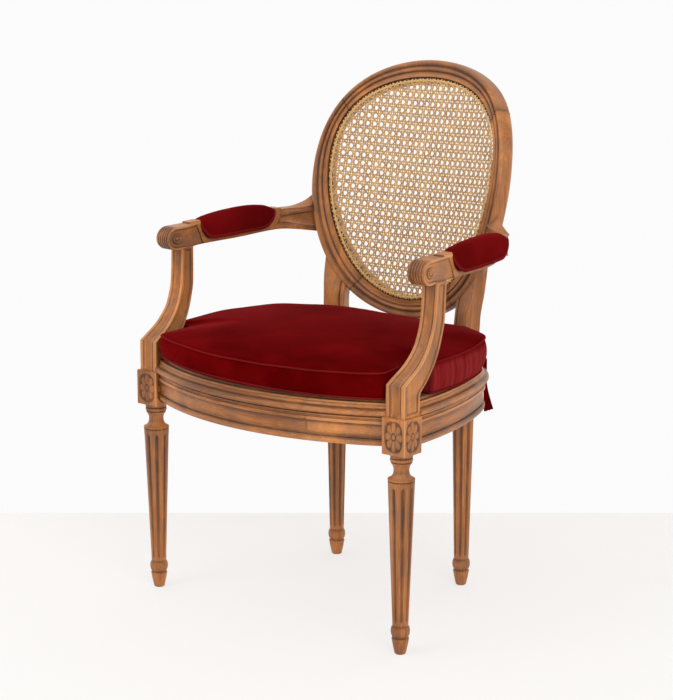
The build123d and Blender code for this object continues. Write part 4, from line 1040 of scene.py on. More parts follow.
def arm_heights(s, tip):
    """Under and top line of the arm: a half circle, a rising top, a bed for the pad and a flared neck."""
    drop = np.sqrt(np.clip(SCROLL_RADIUS**2 - np.minimum(s, 0.0) ** 2, 0.0, None))
    under = smooth_run(s, [STOP_START, 0.1555, PAD_END, tip], ARM_UNDER + np.array([0.0, 4.0, 8.0, -5.0]) * MM)
    low = SCROLL_MIDDLE - SCROLL_RADIUS
    under = np.where(s < STOP_START, low + (ARM_UNDER - low) * ease(s / (24 * MM)), under)
    under = np.where(s < 0, SCROLL_MIDDLE - drop, under)
    t = np.clip(s / PAD_START, 0.0, 1.0)
    top = SCROLL_MIDDLE + np.where(s < 0, drop, SCROLL_RADIUS + 2.4 * MM * t**1.6)
    bed = shoulder(s)
    rise = (42.0 * MM + ARM_UNDER - bed) * lip(s, PAD_START, FRONT_LIP)
    rise = rise + (46.0 * MM + ARM_UNDER - bed) * lip(s, PAD_END, REAR_LIP)
    top = np.where((s > PAD_START) & (s < PAD_END), bed + rise, top)
    places = [PAD_END, COLLAR_END, COLLAR_END + 1.2 * MM, 284 * MM, 303 * MM, tip]
    flare = smooth_run(s, places, ARM_UNDER + np.array([46.4, 46.4, 43.6, 45.5, 53.0, 92.0]) * MM)
    return under, np.where(s >= PAD_END, flare, top)


def arm():
    """Arm: rectangles across it between its plan lines, its under line and its top line.

    The front is a half circle of reeds. Each side has a raised border round a sunk panel with an eye, a
    collar that bends forward under the pad, and a hollow between two beads along the neck.
    """
    sizes = bpy.context.scene.chair_sizes
    seat, seat_way, _ = arm_seat()
    inner, outer, tip = arm_stations()
    u, v = square_ring(np.linspace(-0.965, 0.965, 61), np.linspace(-0.94, 0.94, 41))
    share, v = (u + 1) / 2, (v + 1) / 2
    along = inner[:, :1] + (outer - inner)[:, :1] * share
    out = inner[:, 1:] + (outer - inner)[:, 1:] * share
    rear = ease((along - 195 * MM) / (45 * MM)) * ease((COLLAR_END + 40 * MM - along) / (40 * MM))
    out = out - 20 * MM * share * (1 - v) * rear
    under, top = arm_heights(along, tip)
    level = np.abs(u) < 1
    stop = ease((along - STOP_START) / (0.8 * MM)) * (along <= PAD_START)
    block = stop * ease((10.2 * MM - np.abs(out)) / (0.8 * MM))
    z = under + (top - under) * v + 2.7 * MM * block * (v == 1)
    middle = SCROLL_MIDDLE

    # Reeds round the front
    reed = ((out + 4.9 * MM) / (30.8 * MM) + 0.5) * 6 % 1.0 - 0.5
    groove = (1 - arch(1.9 * reed, 1.0)) * level * ease((5 * MM - along) / (9 * MM))
    keep = 1 - sizes.reed_depth / SCROLL_RADIUS * groove
    rolled = along < 5 * MM
    z = np.where(rolled, middle + (z - middle) * keep, z)
    along = np.where(rolled, along * keep, along)

    # Border, sunk panel and eye
    far = np.hypot(along, z - middle)
    height = np.clip((z - under) / np.maximum(top - under, 1e-6), 0.0, 1.0)
    low_edge = z - under + 3.2 * MM * ease((along - 8 * MM) / (20 * MM))
    from_edge = np.where(along < 0, SCROLL_RADIUS - far, np.minimum(top - z, low_edge))
    slant = (PAD_START - 13 * MM + 21 * MM * (1 - height) - along) * 0.8
    inside = np.minimum(from_edge - 4.6 * MM, slant)
    curl = np.hypot((along - 2.5 * MM) / 1.25, z - middle)
    open_end = 1 - bell(np.arctan2(z - middle - 2 * MM, along - 2.5 * MM), 0.45)
    ring = bell(curl - 4.6 * MM, 0.9 * MM)
    eye = ease((9.0 * MM - curl) / (1.0 * MM)) - 0.9 * ring
    panel = ease(inside / (1.0 * MM))
    lines = bell(inside - 0.3 * MM, 0.9 * MM) + bell(curl - 8.8 * MM, 0.9 * MM) * open_end
    lines = lines + 0.7 * ring * open_end
    lines = lines * (along < PAD_START + 12 * MM)

    # Collar, hollow and beads of the neck
    bend = np.clip(1 - height / 0.9, 0.0, 1.0)
    collar = COLLAR_END - 30 * MM * (1 - arch(bend, 1.0))
    behind = ease((along - collar) / (1.0 * MM))
    off = np.abs(height - 0.48)
    reach = 0.14 + 0.16 * ease((along - COLLAR_END) / (50 * MM))
    hollow = arch(off, reach) * ease((along - collar - 2 * MM) / (5 * MM))
    beads = bell(off - reach - 0.02, 0.026) + 0.6 * bell(off - reach - 0.1, 0.016)
    at_neck = along > PAD_END - 12 * MM
    neck = behind * np.clip(beads, 0.0, 1.0) + bell(along - collar - 0.6 * MM, 0.8 * MM)
    sunk = sizes.volute_depth * panel * (1 - np.clip(eye, 0.0, 1.0))
    sunk = sunk + behind * (1.1 * MM + 2.6 * MM * hollow) * at_neck
    out = out - np.sign(u) * sunk * ~level

    # Dark wax and painted shade in the grooves and round the pad, painted shade at the oval joint, and rubbed
    # corners
    wax = ~level * np.clip(lines + neck * at_neck + 0.18 * panel, 0.0, 1.0)
    wax = wax + level * np.clip(3.2 * groove + 0.2 * (along < 0) * (groove > 0), 0.0, 1.0)
    step = bell(along - STOP_START, 0.9 * MM) * (v == 1)
    by_pad = (along > PAD_START) & (along < PAD_END) & (v > 0.8)
    wax = np.maximum(wax, np.maximum(step, 0.5 * by_pad))
    corner = (np.abs(u) > 0.93) & ((v < 0.06) | (v > 0.94))
    # Painted shade where the neck meets the oval, strongest on the last rows.
    rows_to_oval = np.arange(len(along))[::-1, None]
    wax = np.maximum(wax, 0.7 * bell(rows_to_oval, 4.0))
    wax = np.clip(wax, 0.0, 1.0) - 0.5 * corner * (along < PAD_START)

    # The last rows are drawn to the oval's housing
    points = along_arm(along, out, z)
    grown = ease((along - COLLAR_END) / (30 * MM))
    reach = ((seat - points) @ seat_way) / (ARM_WAY @ seat_way)
    end_reach = np.broadcast_to(reach[-1:], reach.shape)
    points = points + (grown * np.linspace(0, 1, len(points))[:, None] ** 8 * end_reach)[..., None] * ARM_WAY
    return grid(points, wax)


# Upholstery


def pad_lines(along):
    """Middle line, half width, foot and crown of an arm pad; its foot rises in a curve at both ends."""
    sizes = bpy.context.scene.chair_sizes
    share = (along - PAD_START) / (PAD_END - PAD_START)
    middle = smooth_run(share, [0.0, 0.55, 1.0], np.array([0.0, 0.0, -5.0]) * MM)
    places = [0.0, 0.04, 0.14, 0.45, 0.74, 0.88, 0.96, 1.0]
    wide = smooth_run(share, places, [0.46, 0.68, 0.89, 1.0, 0.98, 0.89, 0.76, 0.6])
    high = smooth_run(share, [0.0, 0.1, 0.4, 0.7, 0.9, 1.0], [0.785, 0.86, 0.965, 1.0, 0.955, 0.845])
    crown = ARM_UNDER + sizes.pad_crown * high
    rise = lip(along, PAD_START, FRONT_LIP) + lip(along, PAD_END, REAR_LIP)
    foot = shoulder(along) + 0.6 * MM
    return middle, sizes.pad_width / 2 * wide, foot + (crown - foot) * 0.94 * rise, crown


def pad_stations():
    """Distances along the arm for a pad's sections, closer together at its ends."""
    t = np.linspace(0.0, 1.0, 90)
    t = t - 0.75 * np.sin(2 * np.pi * t) / (2 * np.pi)
    return PAD_START + 0.8 * MM + (PAD_END - PAD_START - 1.6 * MM) * t


def arm_pad():
    """Arm pad: across it, half of a rounded ellipse |x|^2.7 + |z|^2.7 = 1 over a flat foot."""
    along = pad_stations()[:, None]
    middle, half, foot, crown = pad_lines(along)
    turn = np.linspace(0.0, np.pi, 45)
    power = 2 / PAD_POWER
    x = np.sign(np.cos(turn)) * np.abs(np.cos(turn)) ** power
    z = np.abs(np.sin(turn)) ** power
    x = np.concatenate([x, np.linspace(-0.9, 0.9, 9)])
    z = np.concatenate([z, np.zeros(9)])
    return grid(along_arm(along, middle + half * x, foot + (crown - foot) * z))


def pad_welts():
    """Two rows of welt along the foot of a pad and up round its ends, following its sides."""
    sizes = bpy.context.scene.chair_sizes
    along = pad_stations()
    middle, half, foot, crown = pad_lines(along)
    tubes = []
    for lift, proud in ((0.0, 0.6), (2.9, 0.9)):
        z = np.minimum(foot + lift * MM, crown - 0.4 * MM)
        share = np.clip((z - foot) / np.maximum(crown - foot, 1e-6), 0.0, 0.98)
        reach = half * (1 - share**PAD_POWER) ** (1 / PAD_POWER) + proud * MM
        right = along_arm(along, middle + reach, z)
        left = along_arm(along, middle - reach, z)[::-1]
        tubes.append(tube(np.concatenate([right, left]), sizes.pad_welt))
    return tubes


def softened(outline, reach, spacing):
    """A closed outline of evenly spaced points, rounded by three running means over a reach along it."""
    window = int(round(reach / spacing)) | 1
    for _ in range(3):
        ring = np.concatenate([outline[-(window // 2):], outline, outline[: window // 2]])
        total = np.cumsum(np.concatenate([np.zeros((1, 2)), ring]), axis=0)
        outline = (total[window:] - total[:-window]) / window
    return outline


def cushion_outline():
    """Plan of the cushion: the seat's arcs a little farther out, notched for the posts, hollow at the back.

    The corners are rounded by running means along the outline, longer ones at the back.
    """
    beyond = 3.0 * MM
    notch_x = STUMP_INNER - 4.0 * MM
    notch_y = LEG_Y + 68.0 * MM
    front_r = FRONT_RADIUS + beyond
    a = np.linspace(0.0, math.asin(notch_x / front_r), 120)
    front = np.stack([front_r * np.sin(a), LEG_Y - FRONT_BOW + FRONT_RADIUS - front_r * np.cos(a)], -1)
    side_r = SIDE_RADIUS + beyond
    a = np.linspace(math.asin((notch_y - SIDE_CENTER[1]) / side_r), CORNER_START, 90)
    side_r = np.linspace(side_r, side_r + REAR_FULL, 90)[:, None]
    side = SIDE_CENTER + side_r * np.stack([np.cos(a), np.sin(a)], -1)
    a = np.linspace(CORNER_START, math.radians(80), 90)
    corner = CORNER_CENTER + (CORNER_RADIUS + beyond + REAR_FULL) * np.stack([np.cos(a), np.sin(a)], -1)
    sagitta = 22.0 * MM
    rear_r = (REAR_LEG_X**2 + sagitta**2) / (2 * sagitta)
    rear_middle = np.array([0.0, LEG_Y + 342.0 * MM - rear_r])
    corner = corner[np.hypot(*(corner - rear_middle).T) < rear_r]
    a = np.linspace(math.asin(corner[-1, 0] / rear_r), 0.0, 120)
    rear = rear_middle + rear_r * np.stack([np.sin(a), np.cos(a)], -1)
    half = np.concatenate([front, [[notch_x, notch_y]], side, corner, rear])
    line = np.concatenate([half, (half * [-1, 1])[-2:0:-1], half[:1]])
    run = np.concatenate([[0.0], np.cumsum(np.hypot(*np.diff(line, axis=0).T))])
    at = np.linspace(0.0, run[-1], OUTLINE_SAMPLES, endpoint=False)
    even = np.stack([np.interp(at, run, line[:, k]) for k in (0, 1)], -1)
    spacing = run[-1] / OUTLINE_SAMPLES
    tight, loose = (softened(even, reach, spacing) for reach in (13 * MM, 40 * MM))
    back = ease((tight[:, 1:] - (LEG_Y + 190 * MM)) / (70 * MM))
    plan = tight * (1 - back) + loose * back
    return plan[np.linspace(0, OUTLINE_SAMPLES, CUSHION_COLUMNS, endpoint=False).astype(int)]


def rear_corner(x, y):
    """How near a place is to the cushion's rear corner at +X, from 0 to 1."""
    return ease((y - (LEG_Y + 170 * MM)) / (110 * MM)) * ease((x - 0.11) / 0.07)


def cushion_seam(outline):
    """Heights of the cushion's bottom and top seams.

    The top one rises to the back, sooner on the right, and most at the right rear corner.
    """
    x, y = outline.T
    left = ease(0.5 - x / 0.1)
    back = ease((y - (LEG_Y - 60 * MM + 40 * MM * left)) / (150 * MM + 80 * MM * left))
    wave = np.sin(x * 61 + y * 37) + 0.6 * np.sin(x * 23 - y * 71)
    bottom = CUSHION_BOTTOM + (2.6 + 3.5 * ease((0.18 - x) / 0.25)) * MM
    return bottom, CUSHION_BOTTOM + (42.0 + 10.0 * back + 6.0 * rear_corner(x, y) + 0.3 * wave) * MM


def rear_tuck(outline):
    """Share of its plan by which the cushion's bottom seam is drawn in at the rear corners."""
    return 0.02 * rear_corner(np.abs(outline[:, 0]), outline[:, 1])


def cushion_shell(outline):
    """Closed cushion: flat base, boxing that swells between two seams, and a crowned top.

    Rows are the outline drawn in towards the middle by a share, and the top rises by
    crown * (1 - share^2.6)^0.8, and a little more towards the back.
    """
    sizes = bpy.context.scene.chair_sizes
    low, high = cushion_seam(outline)
    tuck = rear_tuck(outline)
    under = np.linspace(0.0, 0.965, 14)[:, None] * (1 - tuck)
    t = np.linspace(0.0, 1.0, 13)[:, None]
    bulge = np.sin(np.pi * t)
    gather = 0.0022 * np.sin(outline[:, 0] * 310 + outline[:, 1] * 290) * ease((outline[:, 0] - 0.1) / 0.1)
    boxing = SEAM_SHARE + 0.016 * bulge + gather * bulge**2 + tuck * (0.3 * bulge - (1 - t) ** 2)
    share = np.concatenate([np.linspace(0.98, 0.86, 9), np.linspace(0.82, 0.0, 16)])[:, None]
    top_z = high * share**3 + high.mean() * (1 - share**3)
    top_z = top_z + sizes.cushion_crown * PLUMP * (1 - share**2.6) ** 0.8
    far_back = ease((share * (outline[:, 1] - CUSHION_MIDDLE[1]) - 20 * MM) / (150 * MM))
    lift = (6.0 + 5.0 * ease(-share * outline[:, 0] / 0.1)) * MM
    top_z = top_z + lift * far_back * (1 - share**6)
    shares = np.concatenate([under, boxing, np.broadcast_to(share, top_z.shape)])
    z = np.concatenate([np.full(under.shape, CUSHION_BOTTOM), low + (high - low) * t, top_z])
    plan = CUSHION_MIDDLE + shares[..., None] * (outline - CUSHION_MIDDLE)
    return grid(at_height(plan, z), caps=False)


def cushion_seams(outline):
    """Lines of the cushion's bottom and top seams."""
    away = outline - CUSHION_MIDDLE
    shares = (SEAM_SHARE - rear_tuck(outline)[:, None], SEAM_SHARE)
    return [at_height(CUSHION_MIDDLE + share * away, z) for share, z in zip(shares, cushion_seam(outline))]


def swell(cover, pressure, voxel, cap, held, floor):
    """Lets the filling push a cover out: voxel remesh, cloth under pressure, and movement capped.

    Points near the held seam points stay where they are, and none goes below the floor.
    """
    scene = bpy.context.scene
    bpy.context.view_layer.objects.active = cover
    cover.select_set(True)
    cover.data.remesh_voxel_size = voxel
    cover.data.use_remesh_preserve_attributes = False
    bpy.ops.object.voxel_remesh()
    mesh = cover.data
    count = len(mesh.vertices)
    start = np.empty(count * 3)
    mesh.vertices.foreach_get("co", start)
    start = start.reshape(-1, 3)
    near = np.full(count, np.inf)
    for chunk in np.array_split(held, 12):
        near = np.minimum(near, np.linalg.norm(start[:, None] - chunk[None], axis=2).min(axis=1))
    pinned = np.nonzero((near < voxel * 1.3) | (start[:, 2] < floor + 1.5 * MM))[0]
    group = cover.vertex_groups.new(name="seams")
    group.add(pinned.tolist(), 1.0, "REPLACE")
    cloth = cover.modifiers.new("Filling", "CLOTH")
    cloth.settings.quality = 6
    cloth.settings.use_pressure = True
    cloth.settings.uniform_pressure_force = pressure
    cloth.settings.vertex_group_mass = "seams"
    cloth.settings.effector_weights.gravity = 0.0
    for number in range(1, SWELL_FRAMES + 1):
        scene.frame_set(number)
    graph = bpy.context.evaluated_depsgraph_get()
    result = cover.evaluated_get(graph).to_mesh()
    end = np.empty(count * 3)
    result.vertices.foreach_get("co", end)
    cover.evaluated_get(graph).to_mesh_clear()
    cover.modifiers.remove(cloth)
    cover.vertex_groups.clear()
    scene.frame_set(1)
    move = end.reshape(-1, 3) - start
    far = np.linalg.norm(move, axis=1, keepdims=True)
    end = start + move * np.minimum(1.0, cap / np.maximum(far, 1e-9))
    end[:, 2] = np.maximum(end[:, 2], floor)
    mesh.vertices.foreach_set("co", end.reshape(-1))
    mesh.update()
    mesh.polygons.foreach_set("use_smooth", np.ones(len(mesh.polygons), bool))
    finer = cover.modifiers.new("Finer", "SUBSURF")
    finer.levels = 1
    finer.render_levels = 1


def tie_strip():
    """Cushion tie: a band round the stile, and a tail that bends over the rail and flares into folds."""
    turn = math.asin(REAR_LEG_X / BACK_RADIUS)
    out = np.array([math.cos(turn), -math.sin(turn)])
    rear = np.array([math.sin(turn), math.cos(turn)])
    foot = np.array([REAR_LEG_X, REAR_LEG_Y])
    floor = RAIL_TOP + 0.5 * MM
    corners, _ = moulding([
        (19.2, -16.0, 0.0, 8, 0.0),
        (19.2, 16.0, 1.0, 6, 0.0),
        (16.0, 18.7, 0.0, 8, 0.0),
        (-16.0, 18.7, 1.0, 6, 0.0),
        (-19.2, 16.0, 0.0, 8, 0.0),
        (-19.2, -16.0, 1.0, 6, 0.0),
        (-16.0, -18.7, 0.0, 8, 0.0),
        (16.0, -18.7, 1.0, 6, 0.0),
    ])
    radial = corners / np.linalg.norm(corners, axis=1, keepdims=True)
    step = np.array([[0.0, 0.0], [1.5, 0.0], [1.5, 10.0], [0.0, 10.0]]) * MM
    round_it = corners[:, None] + step[None, :, :1] * radial[:, None]
    plan = foot + round_it[..., :1] * out + round_it[..., 1:] * rear
    band = grid(at_height(plan, floor + step[:, 1]), wrap_rows=True)

    start = REAR_LEG_X + 20.5 * MM
    tail_x = 186.5 * MM
    bend = 7.0 * MM
    a = np.linspace(0.0, np.pi / 2, 12)
    top = floor + 0.9 * MM
    run_x = np.concatenate([
        np.linspace(start, tail_x - bend, 12)[:-1],
        tail_x - bend + bend * np.sin(a),
        tail_x + 10.0 * MM * np.linspace(0.025, 1.0, 40) ** 2,
    ])
    run_z = np.concatenate([
        np.full(11, top),
        top - bend + bend * np.cos(a),
        np.linspace(top - bend, RAIL_TOP - 91 * MM, 41)[1:],
    ])
    share = np.linspace(0.0, 1.0, len(run_x))
    half = smooth_run(share, [0.0, 0.45, 0.62, 1.0], np.array([8.0, 6.5, 4.5, 12.5]) * MM)
    fold = smooth_run(share, [0.0, 0.6, 1.0], np.array([0.0, 0.3, 2.4]) * MM)
    w = np.linspace(-1.0, 1.0, 25)
    ripple = np.cos(w * 2.5 * np.pi)
    x = run_x[:, None] + fold[:, None] * ripple
    face = at_height(np.stack([x, REAR_LEG_Y + half[:, None] * w], -1), run_z[:, None])
    slope_x = np.gradient(run_x)
    slope_z = np.gradient(run_z)
    size = np.hypot(slope_x, slope_z)
    normal = np.stack([-slope_z / size, 0 * size, slope_x / size], -1)[:, None]
    both = np.concatenate([face + 0.75 * MM * normal, (face - 0.75 * MM * normal)[:, ::-1]], axis=1)
    return [band, grid(both)]


# Cane


def in_opening(points):
    """Which points (x, rise) lie inside the oval opening, held in by the cane's margin."""
    half_width, half_height = OPENING[0] - CANE_MARGIN, OPENING[1] - CANE_MARGIN
    x, rise = points[..., 0], points[..., 1] / half_height
    return (x / (half_width * (1 + OPENING[2] * rise))) ** 2 + rise**2 < 1


def strands(base, way, width, depth, wave, steps):
    """Flat strands of cane along parallel lines base + t * way, where they run inside the opening.

    depth is a strand's height over the back's face, and wave(x) lifts it over what it crosses.
    Its section is a flat diamond.
    """
    t = np.linspace(-0.5, 0.5, 1601)
    held = in_opening(base[:, None] + t[None, :, None] * way)
    first = t[held.argmax(axis=1)]
    last = t[held.shape[1] - 1 - held[:, ::-1].argmax(axis=1)]
    kept = held.any(axis=1) & (last - first > SHORTEST_STRAND)
    base, first, last = base[kept], first[kept], last[kept]
    t = first[:, None] + (last - first)[:, None] * np.linspace(0.0, 1.0, steps)
    line = base[:, None] + t[..., None] * way
    across = np.array([-0.5, 0.0, 0.5, 0.0]) * width
    up = np.array([0.0, 0.5, 0.0, -0.5]) * bpy.context.scene.chair_sizes.cane_thickness
    flat = line[:, :, None] + across[:, None] * np.array([-way[1], way[0]])
    points = back_point(flat[..., 0], flat[..., 1], depth + wave(line[..., :1]) + up)
    return [grid(one, caps=False) for one in points]


def weave():
    """Six-way cane: pairs of upright and level strands, and two diagonals that pass between their crossings."""
    sizes = bpy.context.scene.chair_sizes
    pitch, row_pitch = sizes.cane_pitch, sizes.cane_row_pitch
    width, thick = sizes.cane_strand, sizes.cane_thickness
    columns = int(OPENING[0] * 1.15 / pitch) + 1
    rows = int(OPENING[1] / row_pitch) + 1
    pair = np.array([-0.17, 0.17])
    x = ((np.arange(-columns, columns + 1)[:, None] + pair) * pitch).reshape(-1)
    y = ((np.arange(-rows, rows + 1)[:, None] + pair) * row_pitch).reshape(-1)
    upright = np.stack([x, 0 * x], -1)
    level = np.stack([0 * y, y], -1)
    count = columns + rows + 1
    places = (np.arange(-count, count + 1) + 0.5) * pitch
    diagonal = np.stack([places, 0 * places], -1)
    slant = np.array([pitch, row_pitch]) / math.hypot(pitch, row_pitch)

    def still(x):
        return 0 * x

    def over(x):
        return 0.35 * thick * np.cos(2 * np.pi * x / pitch)

    def under(x):
        return -over(x)

    return [
        *strands(upright, np.array([0.0, 1.0]), width * 0.85, CANE_DEPTH - 0.7 * thick, still, 40),
        *strands(level, np.array([1.0, 0.0]), width * 0.85, CANE_DEPTH, still, 40),
        *strands(diagonal, slant, width, CANE_DEPTH + 0.6 * thick, over, 96),
        *strands(diagonal, slant * [-1, 1], width, CANE_DEPTH + 0.8 * thick, under, 96),
    ]


def oval_ring(inset, width, thick, proud, count=360):
    """Flat strand that follows the oval opening at an inset, laid on the back's cylinder."""
    angle = np.linspace(0.0, 360.0, count, endpoint=False)
    offset = inset + np.array([0.5, 0.2, -0.2, -0.5, 0.0]) * width
    lift = proud + np.array([0.0, 0.5, 0.5, 0.0, -0.5]) * thick
    inner = [oval_at(angle, (OPENING[0] - o, OPENING[1] - o, OPENING[2])) for o in offset]
    points = np.stack([back_point(x, y, h) for (x, y), h in zip(inner, lift)], axis=1)
    return grid(points, wrap_rows=True)


def lacing():
    """Short loops of cane over the edge strand, one pair at each drilled hole: little bowed straps."""
    pitch = 360.0 / LACINGS
    angle = np.arange(LACINGS) * pitch
    t = np.linspace(0.0, 1.0, 9)
    loops = []
    for skew in (-0.75, 0.75):
        a = angle[:, None] + skew * (t - 0.5) * pitch
        inset = (2.6 + 8.2 * t) * MM
        x, y = oval_at(a, (OPENING[0] - inset, OPENING[1] - inset, OPENING[2]))
        height = (-2.6 + 1.9 * np.sin(np.pi * t)) * MM
        centre = back_point(x, y, np.broadcast_to(height, x.shape))
        ahead = np.gradient(centre, axis=1)
        ahead /= np.linalg.norm(ahead, axis=2, keepdims=True)
        side = np.cross(ahead, BACK_FRONT)
        shape = np.array([[-1.1, 0.0], [0.0, 0.4], [1.1, 0.0], [0.0, -0.4]]) * MM
        points = centre[:, :, None] + shape[:, :1] * side[:, :, None] + shape[:, 1:] * BACK_FRONT
        loops += [grid(one) for one in points]
    return loops


# Operators


def wooden(name, node, grids, finish, grain, shift, greyer=0.0):
    """A wooden piece in place of a CAD node, from a length of wood of its own."""
    piece(name, grids, wood(finish, grain, shift, greyer), [node])


def wooden_pair(name, node, grids, finish, shifts, grains=(GRAIN_UP, GRAIN_UP), greyer=0.0):
    """A wooden piece on the right and its mirror image on the left."""
    for (side, shapes), shift, grain in zip(both_sides(grids), shifts, grains):
        wooden(f"{name}_{side}", f"{node}_{side}", shapes, f"{finish} {side}", grain, shift, greyer)


class CHAIR_OT_front_legs(bpy.types.Operator):
    """Turned, fluted front legs with their rosette blocks"""

    bl_idname = "chair.front_legs"
    bl_label = "Front legs"
    bl_options = {"REGISTER", "UNDO"}

    def execute(self, context):
        foot = (LEG_X, LEG_Y)
        right = [
            turned_leg(foot, False, math.radians(-90)),
            square_block(foot, BLOCK_SIDE, BLOCK_BOTTOM, BLOCK_TOP, 0.0, True),
        ]
        wooden_pair("leg_front", "front_leg", right, "leg wood", ((0.3, 0.1, 0.0), (1.3, 0.7, 0.2)))
        return {"FINISHED"}


class CHAIR_OT_uprights(bpy.types.Operator):
    """Rear legs with their seat blocks, stiles and the sides of the oval"""

    bl_idname = "chair.uprights"
    bl_label = "Rear uprights"
    bl_options = {"REGISTER", "UNDO"}

    def execute(self, context):
        foot = (REAR_LEG_X, REAR_LEG_Y)
        turn = -math.asin(REAR_LEG_X / BACK_RADIUS)
        right = [
            turned_leg(foot, True, turn),
            square_block(foot, UPRIGHT_BLOCK_SIDE, RAIL_BOTTOM, RAIL_TOP, turn, False),
            stile(),
            oval_piece(-LOWER_JOINT, CREST_JOINT),
        ]
        wooden_pair("upright", "rear_upright", right, "upright wood", ((0.9, 0.3, 0.5), (2.1, 0.9, 0.4)))
        return {"FINISHED"}


class CHAIR_OT_oval(bpy.types.Operator):
    """Top and bottom of the oval back"""

    bl_idname = "chair.oval"
    bl_label = "Crest and lower rail"
    bl_options = {"REGISTER", "UNDO"}

    def execute(self, context):
        crest = [oval_piece(CREST_JOINT, 180 - CREST_JOINT)]
        wooden("crest", "crest_rail", crest, "crest wood", GRAIN_ACROSS, (0.4, 0.2, 0.6), 0.05)
        lower = [oval_piece(180 + LOWER_JOINT, 360 - LOWER_JOINT)]
        wooden("lower_rail", "lower_back_rail", lower, "lower rail wood", GRAIN_ACROSS, (1.4, 0.6, 0.1))
        return {"FINISHED"}


class CHAIR_OT_seat_rails(bpy.types.Operator):
    """Moulded seat rails, and wood for the hidden rail, pegs and dowels"""

    bl_idname = "chair.seat_rails"
    bl_label = "Seat rails"
    bl_options = {"REGISTER", "UNDO"}

    def execute(self, context):
        across = wood("front rail wood", GRAIN_ACROSS, (0.7, 0.3, 0.2))
        piece("rail_front", [front_rail()], across, ["front_rail"])
        shifts = ((0.2, 0.8, 0.3), (1.2, 0.1, 0.9))
        grains = (grain_towards(100), grain_towards(80))
        wooden_pair("rail", "side_rail", [side_rail()], "side rail wood", shifts, grains)
        for node in ("back_rail", "tenon_pegs", "back_dowels", "arm_dowels"):
            dress(node, across)
        return {"FINISHED"}


class CHAIR_OT_arms(bpy.types.Operator):
    """Posts and arms"""

    bl_idname = "chair.arms"
    bl_label = "Posts and arms"
    bl_options = {"REGISTER", "UNDO"}

    def execute(self, context):
        wooden_pair("post", "arm_post", [arm_post()], "post wood", ((0.6, 0.4, 0.8), (1.6, 0.2, 0.1)))
        shifts = ((0.1, 0.5, 0.7), (1.9, 0.3, 0.6))
        grains = (grain_towards(103), grain_towards(77))
        wooden_pair("armrest", "arm", [arm()], "arm wood", shifts, grains, 0.04)
        return {"FINISHED"}


class CHAIR_OT_arm_pads(bpy.types.Operator):
    """Velvet arm pads with their double welts"""

    bl_idname = "chair.arm_pads"
    bl_label = "Arm pads"
    bl_options = {"REGISTER", "UNDO"}

    def execute(self, context):
        # The pads take a little painted sheen, and their welts a stronger painted highlight.
        cloth = velvet("arm pad velvet", painted_light_share=0.07)
        edging = velvet("arm pad edging", painted_light_share=0.3)
        for (side, pad), (_, welts) in zip(both_sides([arm_pad()]), both_sides(pad_welts())):
            made = piece(f"pad_{side}", pad, cloth, [f"arm_pad_{side}"], crease=60)
            piece(f"pad_welt_{side}", welts, edging)
        return {"FINISHED"}


class CHAIR_OT_back_cane(bpy.types.Operator):
    """Six-way cane of the back, its edge strand and its lacing"""

    bl_idname = "chair.back_cane"
    bl_label = "Back cane"
    bl_options = {"REGISTER", "UNDO"}

    def execute(self, context):
        piece("cane_back", weave(), cane("back cane"), ["back_cane"])
        edge = [oval_ring(6.2 * MM, 3.4 * MM, 1.2 * MM, -1.9 * MM), *lacing()]
        # The edge strand and lacing take a paler cane, partly the binding's own golden colour, partly painted
        # light where the ring lies in shade.
        piece("cane_back_edge", edge, cane("cane edge", -0.14), ["back_cane_binding"])
        return {"FINISHED"}


class CHAIR_OT_seat_cane(bpy.types.Operator):
    """Cane under the cushion"""

    bl_idname = "chair.seat_cane"
    bl_label = "Seat cane"
    bl_options = {"REGISTER", "UNDO"}

    def execute(self, context):
        finish = cane("seat cane", 0.03)
        for node in ("seat_cane", "seat_cane_binding"):
            dress(node, finish)
        return {"FINISHED"}


class CHAIR_OT_cushion(bpy.types.Operator):
    """Loose velvet cushion with sewn edges, swelled by its filling"""

    bl_idname = "chair.cushion"
    bl_label = "Seat cushion"
    bl_options = {"REGISTER", "UNDO"}

    def execute(self, context):
        sizes = context.scene.chair_sizes
        cloth = velvet("cushion velvet", gathered=True)
        outline = cushion_outline()
        made = piece("cushion", [cushion_shell(outline)], cloth, ["seat_cushion"], crease=70)
        seams = cushion_seams(outline)
        swell(made, 4.0, 6.0 * MM, sizes.cushion_swell, np.concatenate(seams), CUSHION_BOTTOM)
        welts = []
        for seam, out in zip(seams, (0.9, 1.2)):
            away = seam[:, :2] - CUSHION_MIDDLE
            away = away / np.linalg.norm(away, axis=1, keepdims=True)
            seam[:, :2] += out * MM * away
            welts.append(tube(seam, sizes.cushion_welt))
        # The cushion's welts take a painted highlight.
        piece("cushion_welt", welts, velvet("cushion edging", painted_light_share=0.25))
        return {"FINISHED"}


class CHAIR_OT_ties(bpy.types.Operator):
    """Velvet ties that hold the cushion to the stiles"""

    bl_idname = "chair.ties"
    bl_label = "Cushion ties"
    bl_options = {"REGISTER", "UNDO"}

    def execute(self, context):
        cloth = velvet("tie velvet")
        for side, shapes in both_sides(tie_strip()):
            made = piece(f"tie_{side}", shapes, cloth, [f"cushion_tie_{side}"])
        return {"FINISHED"}


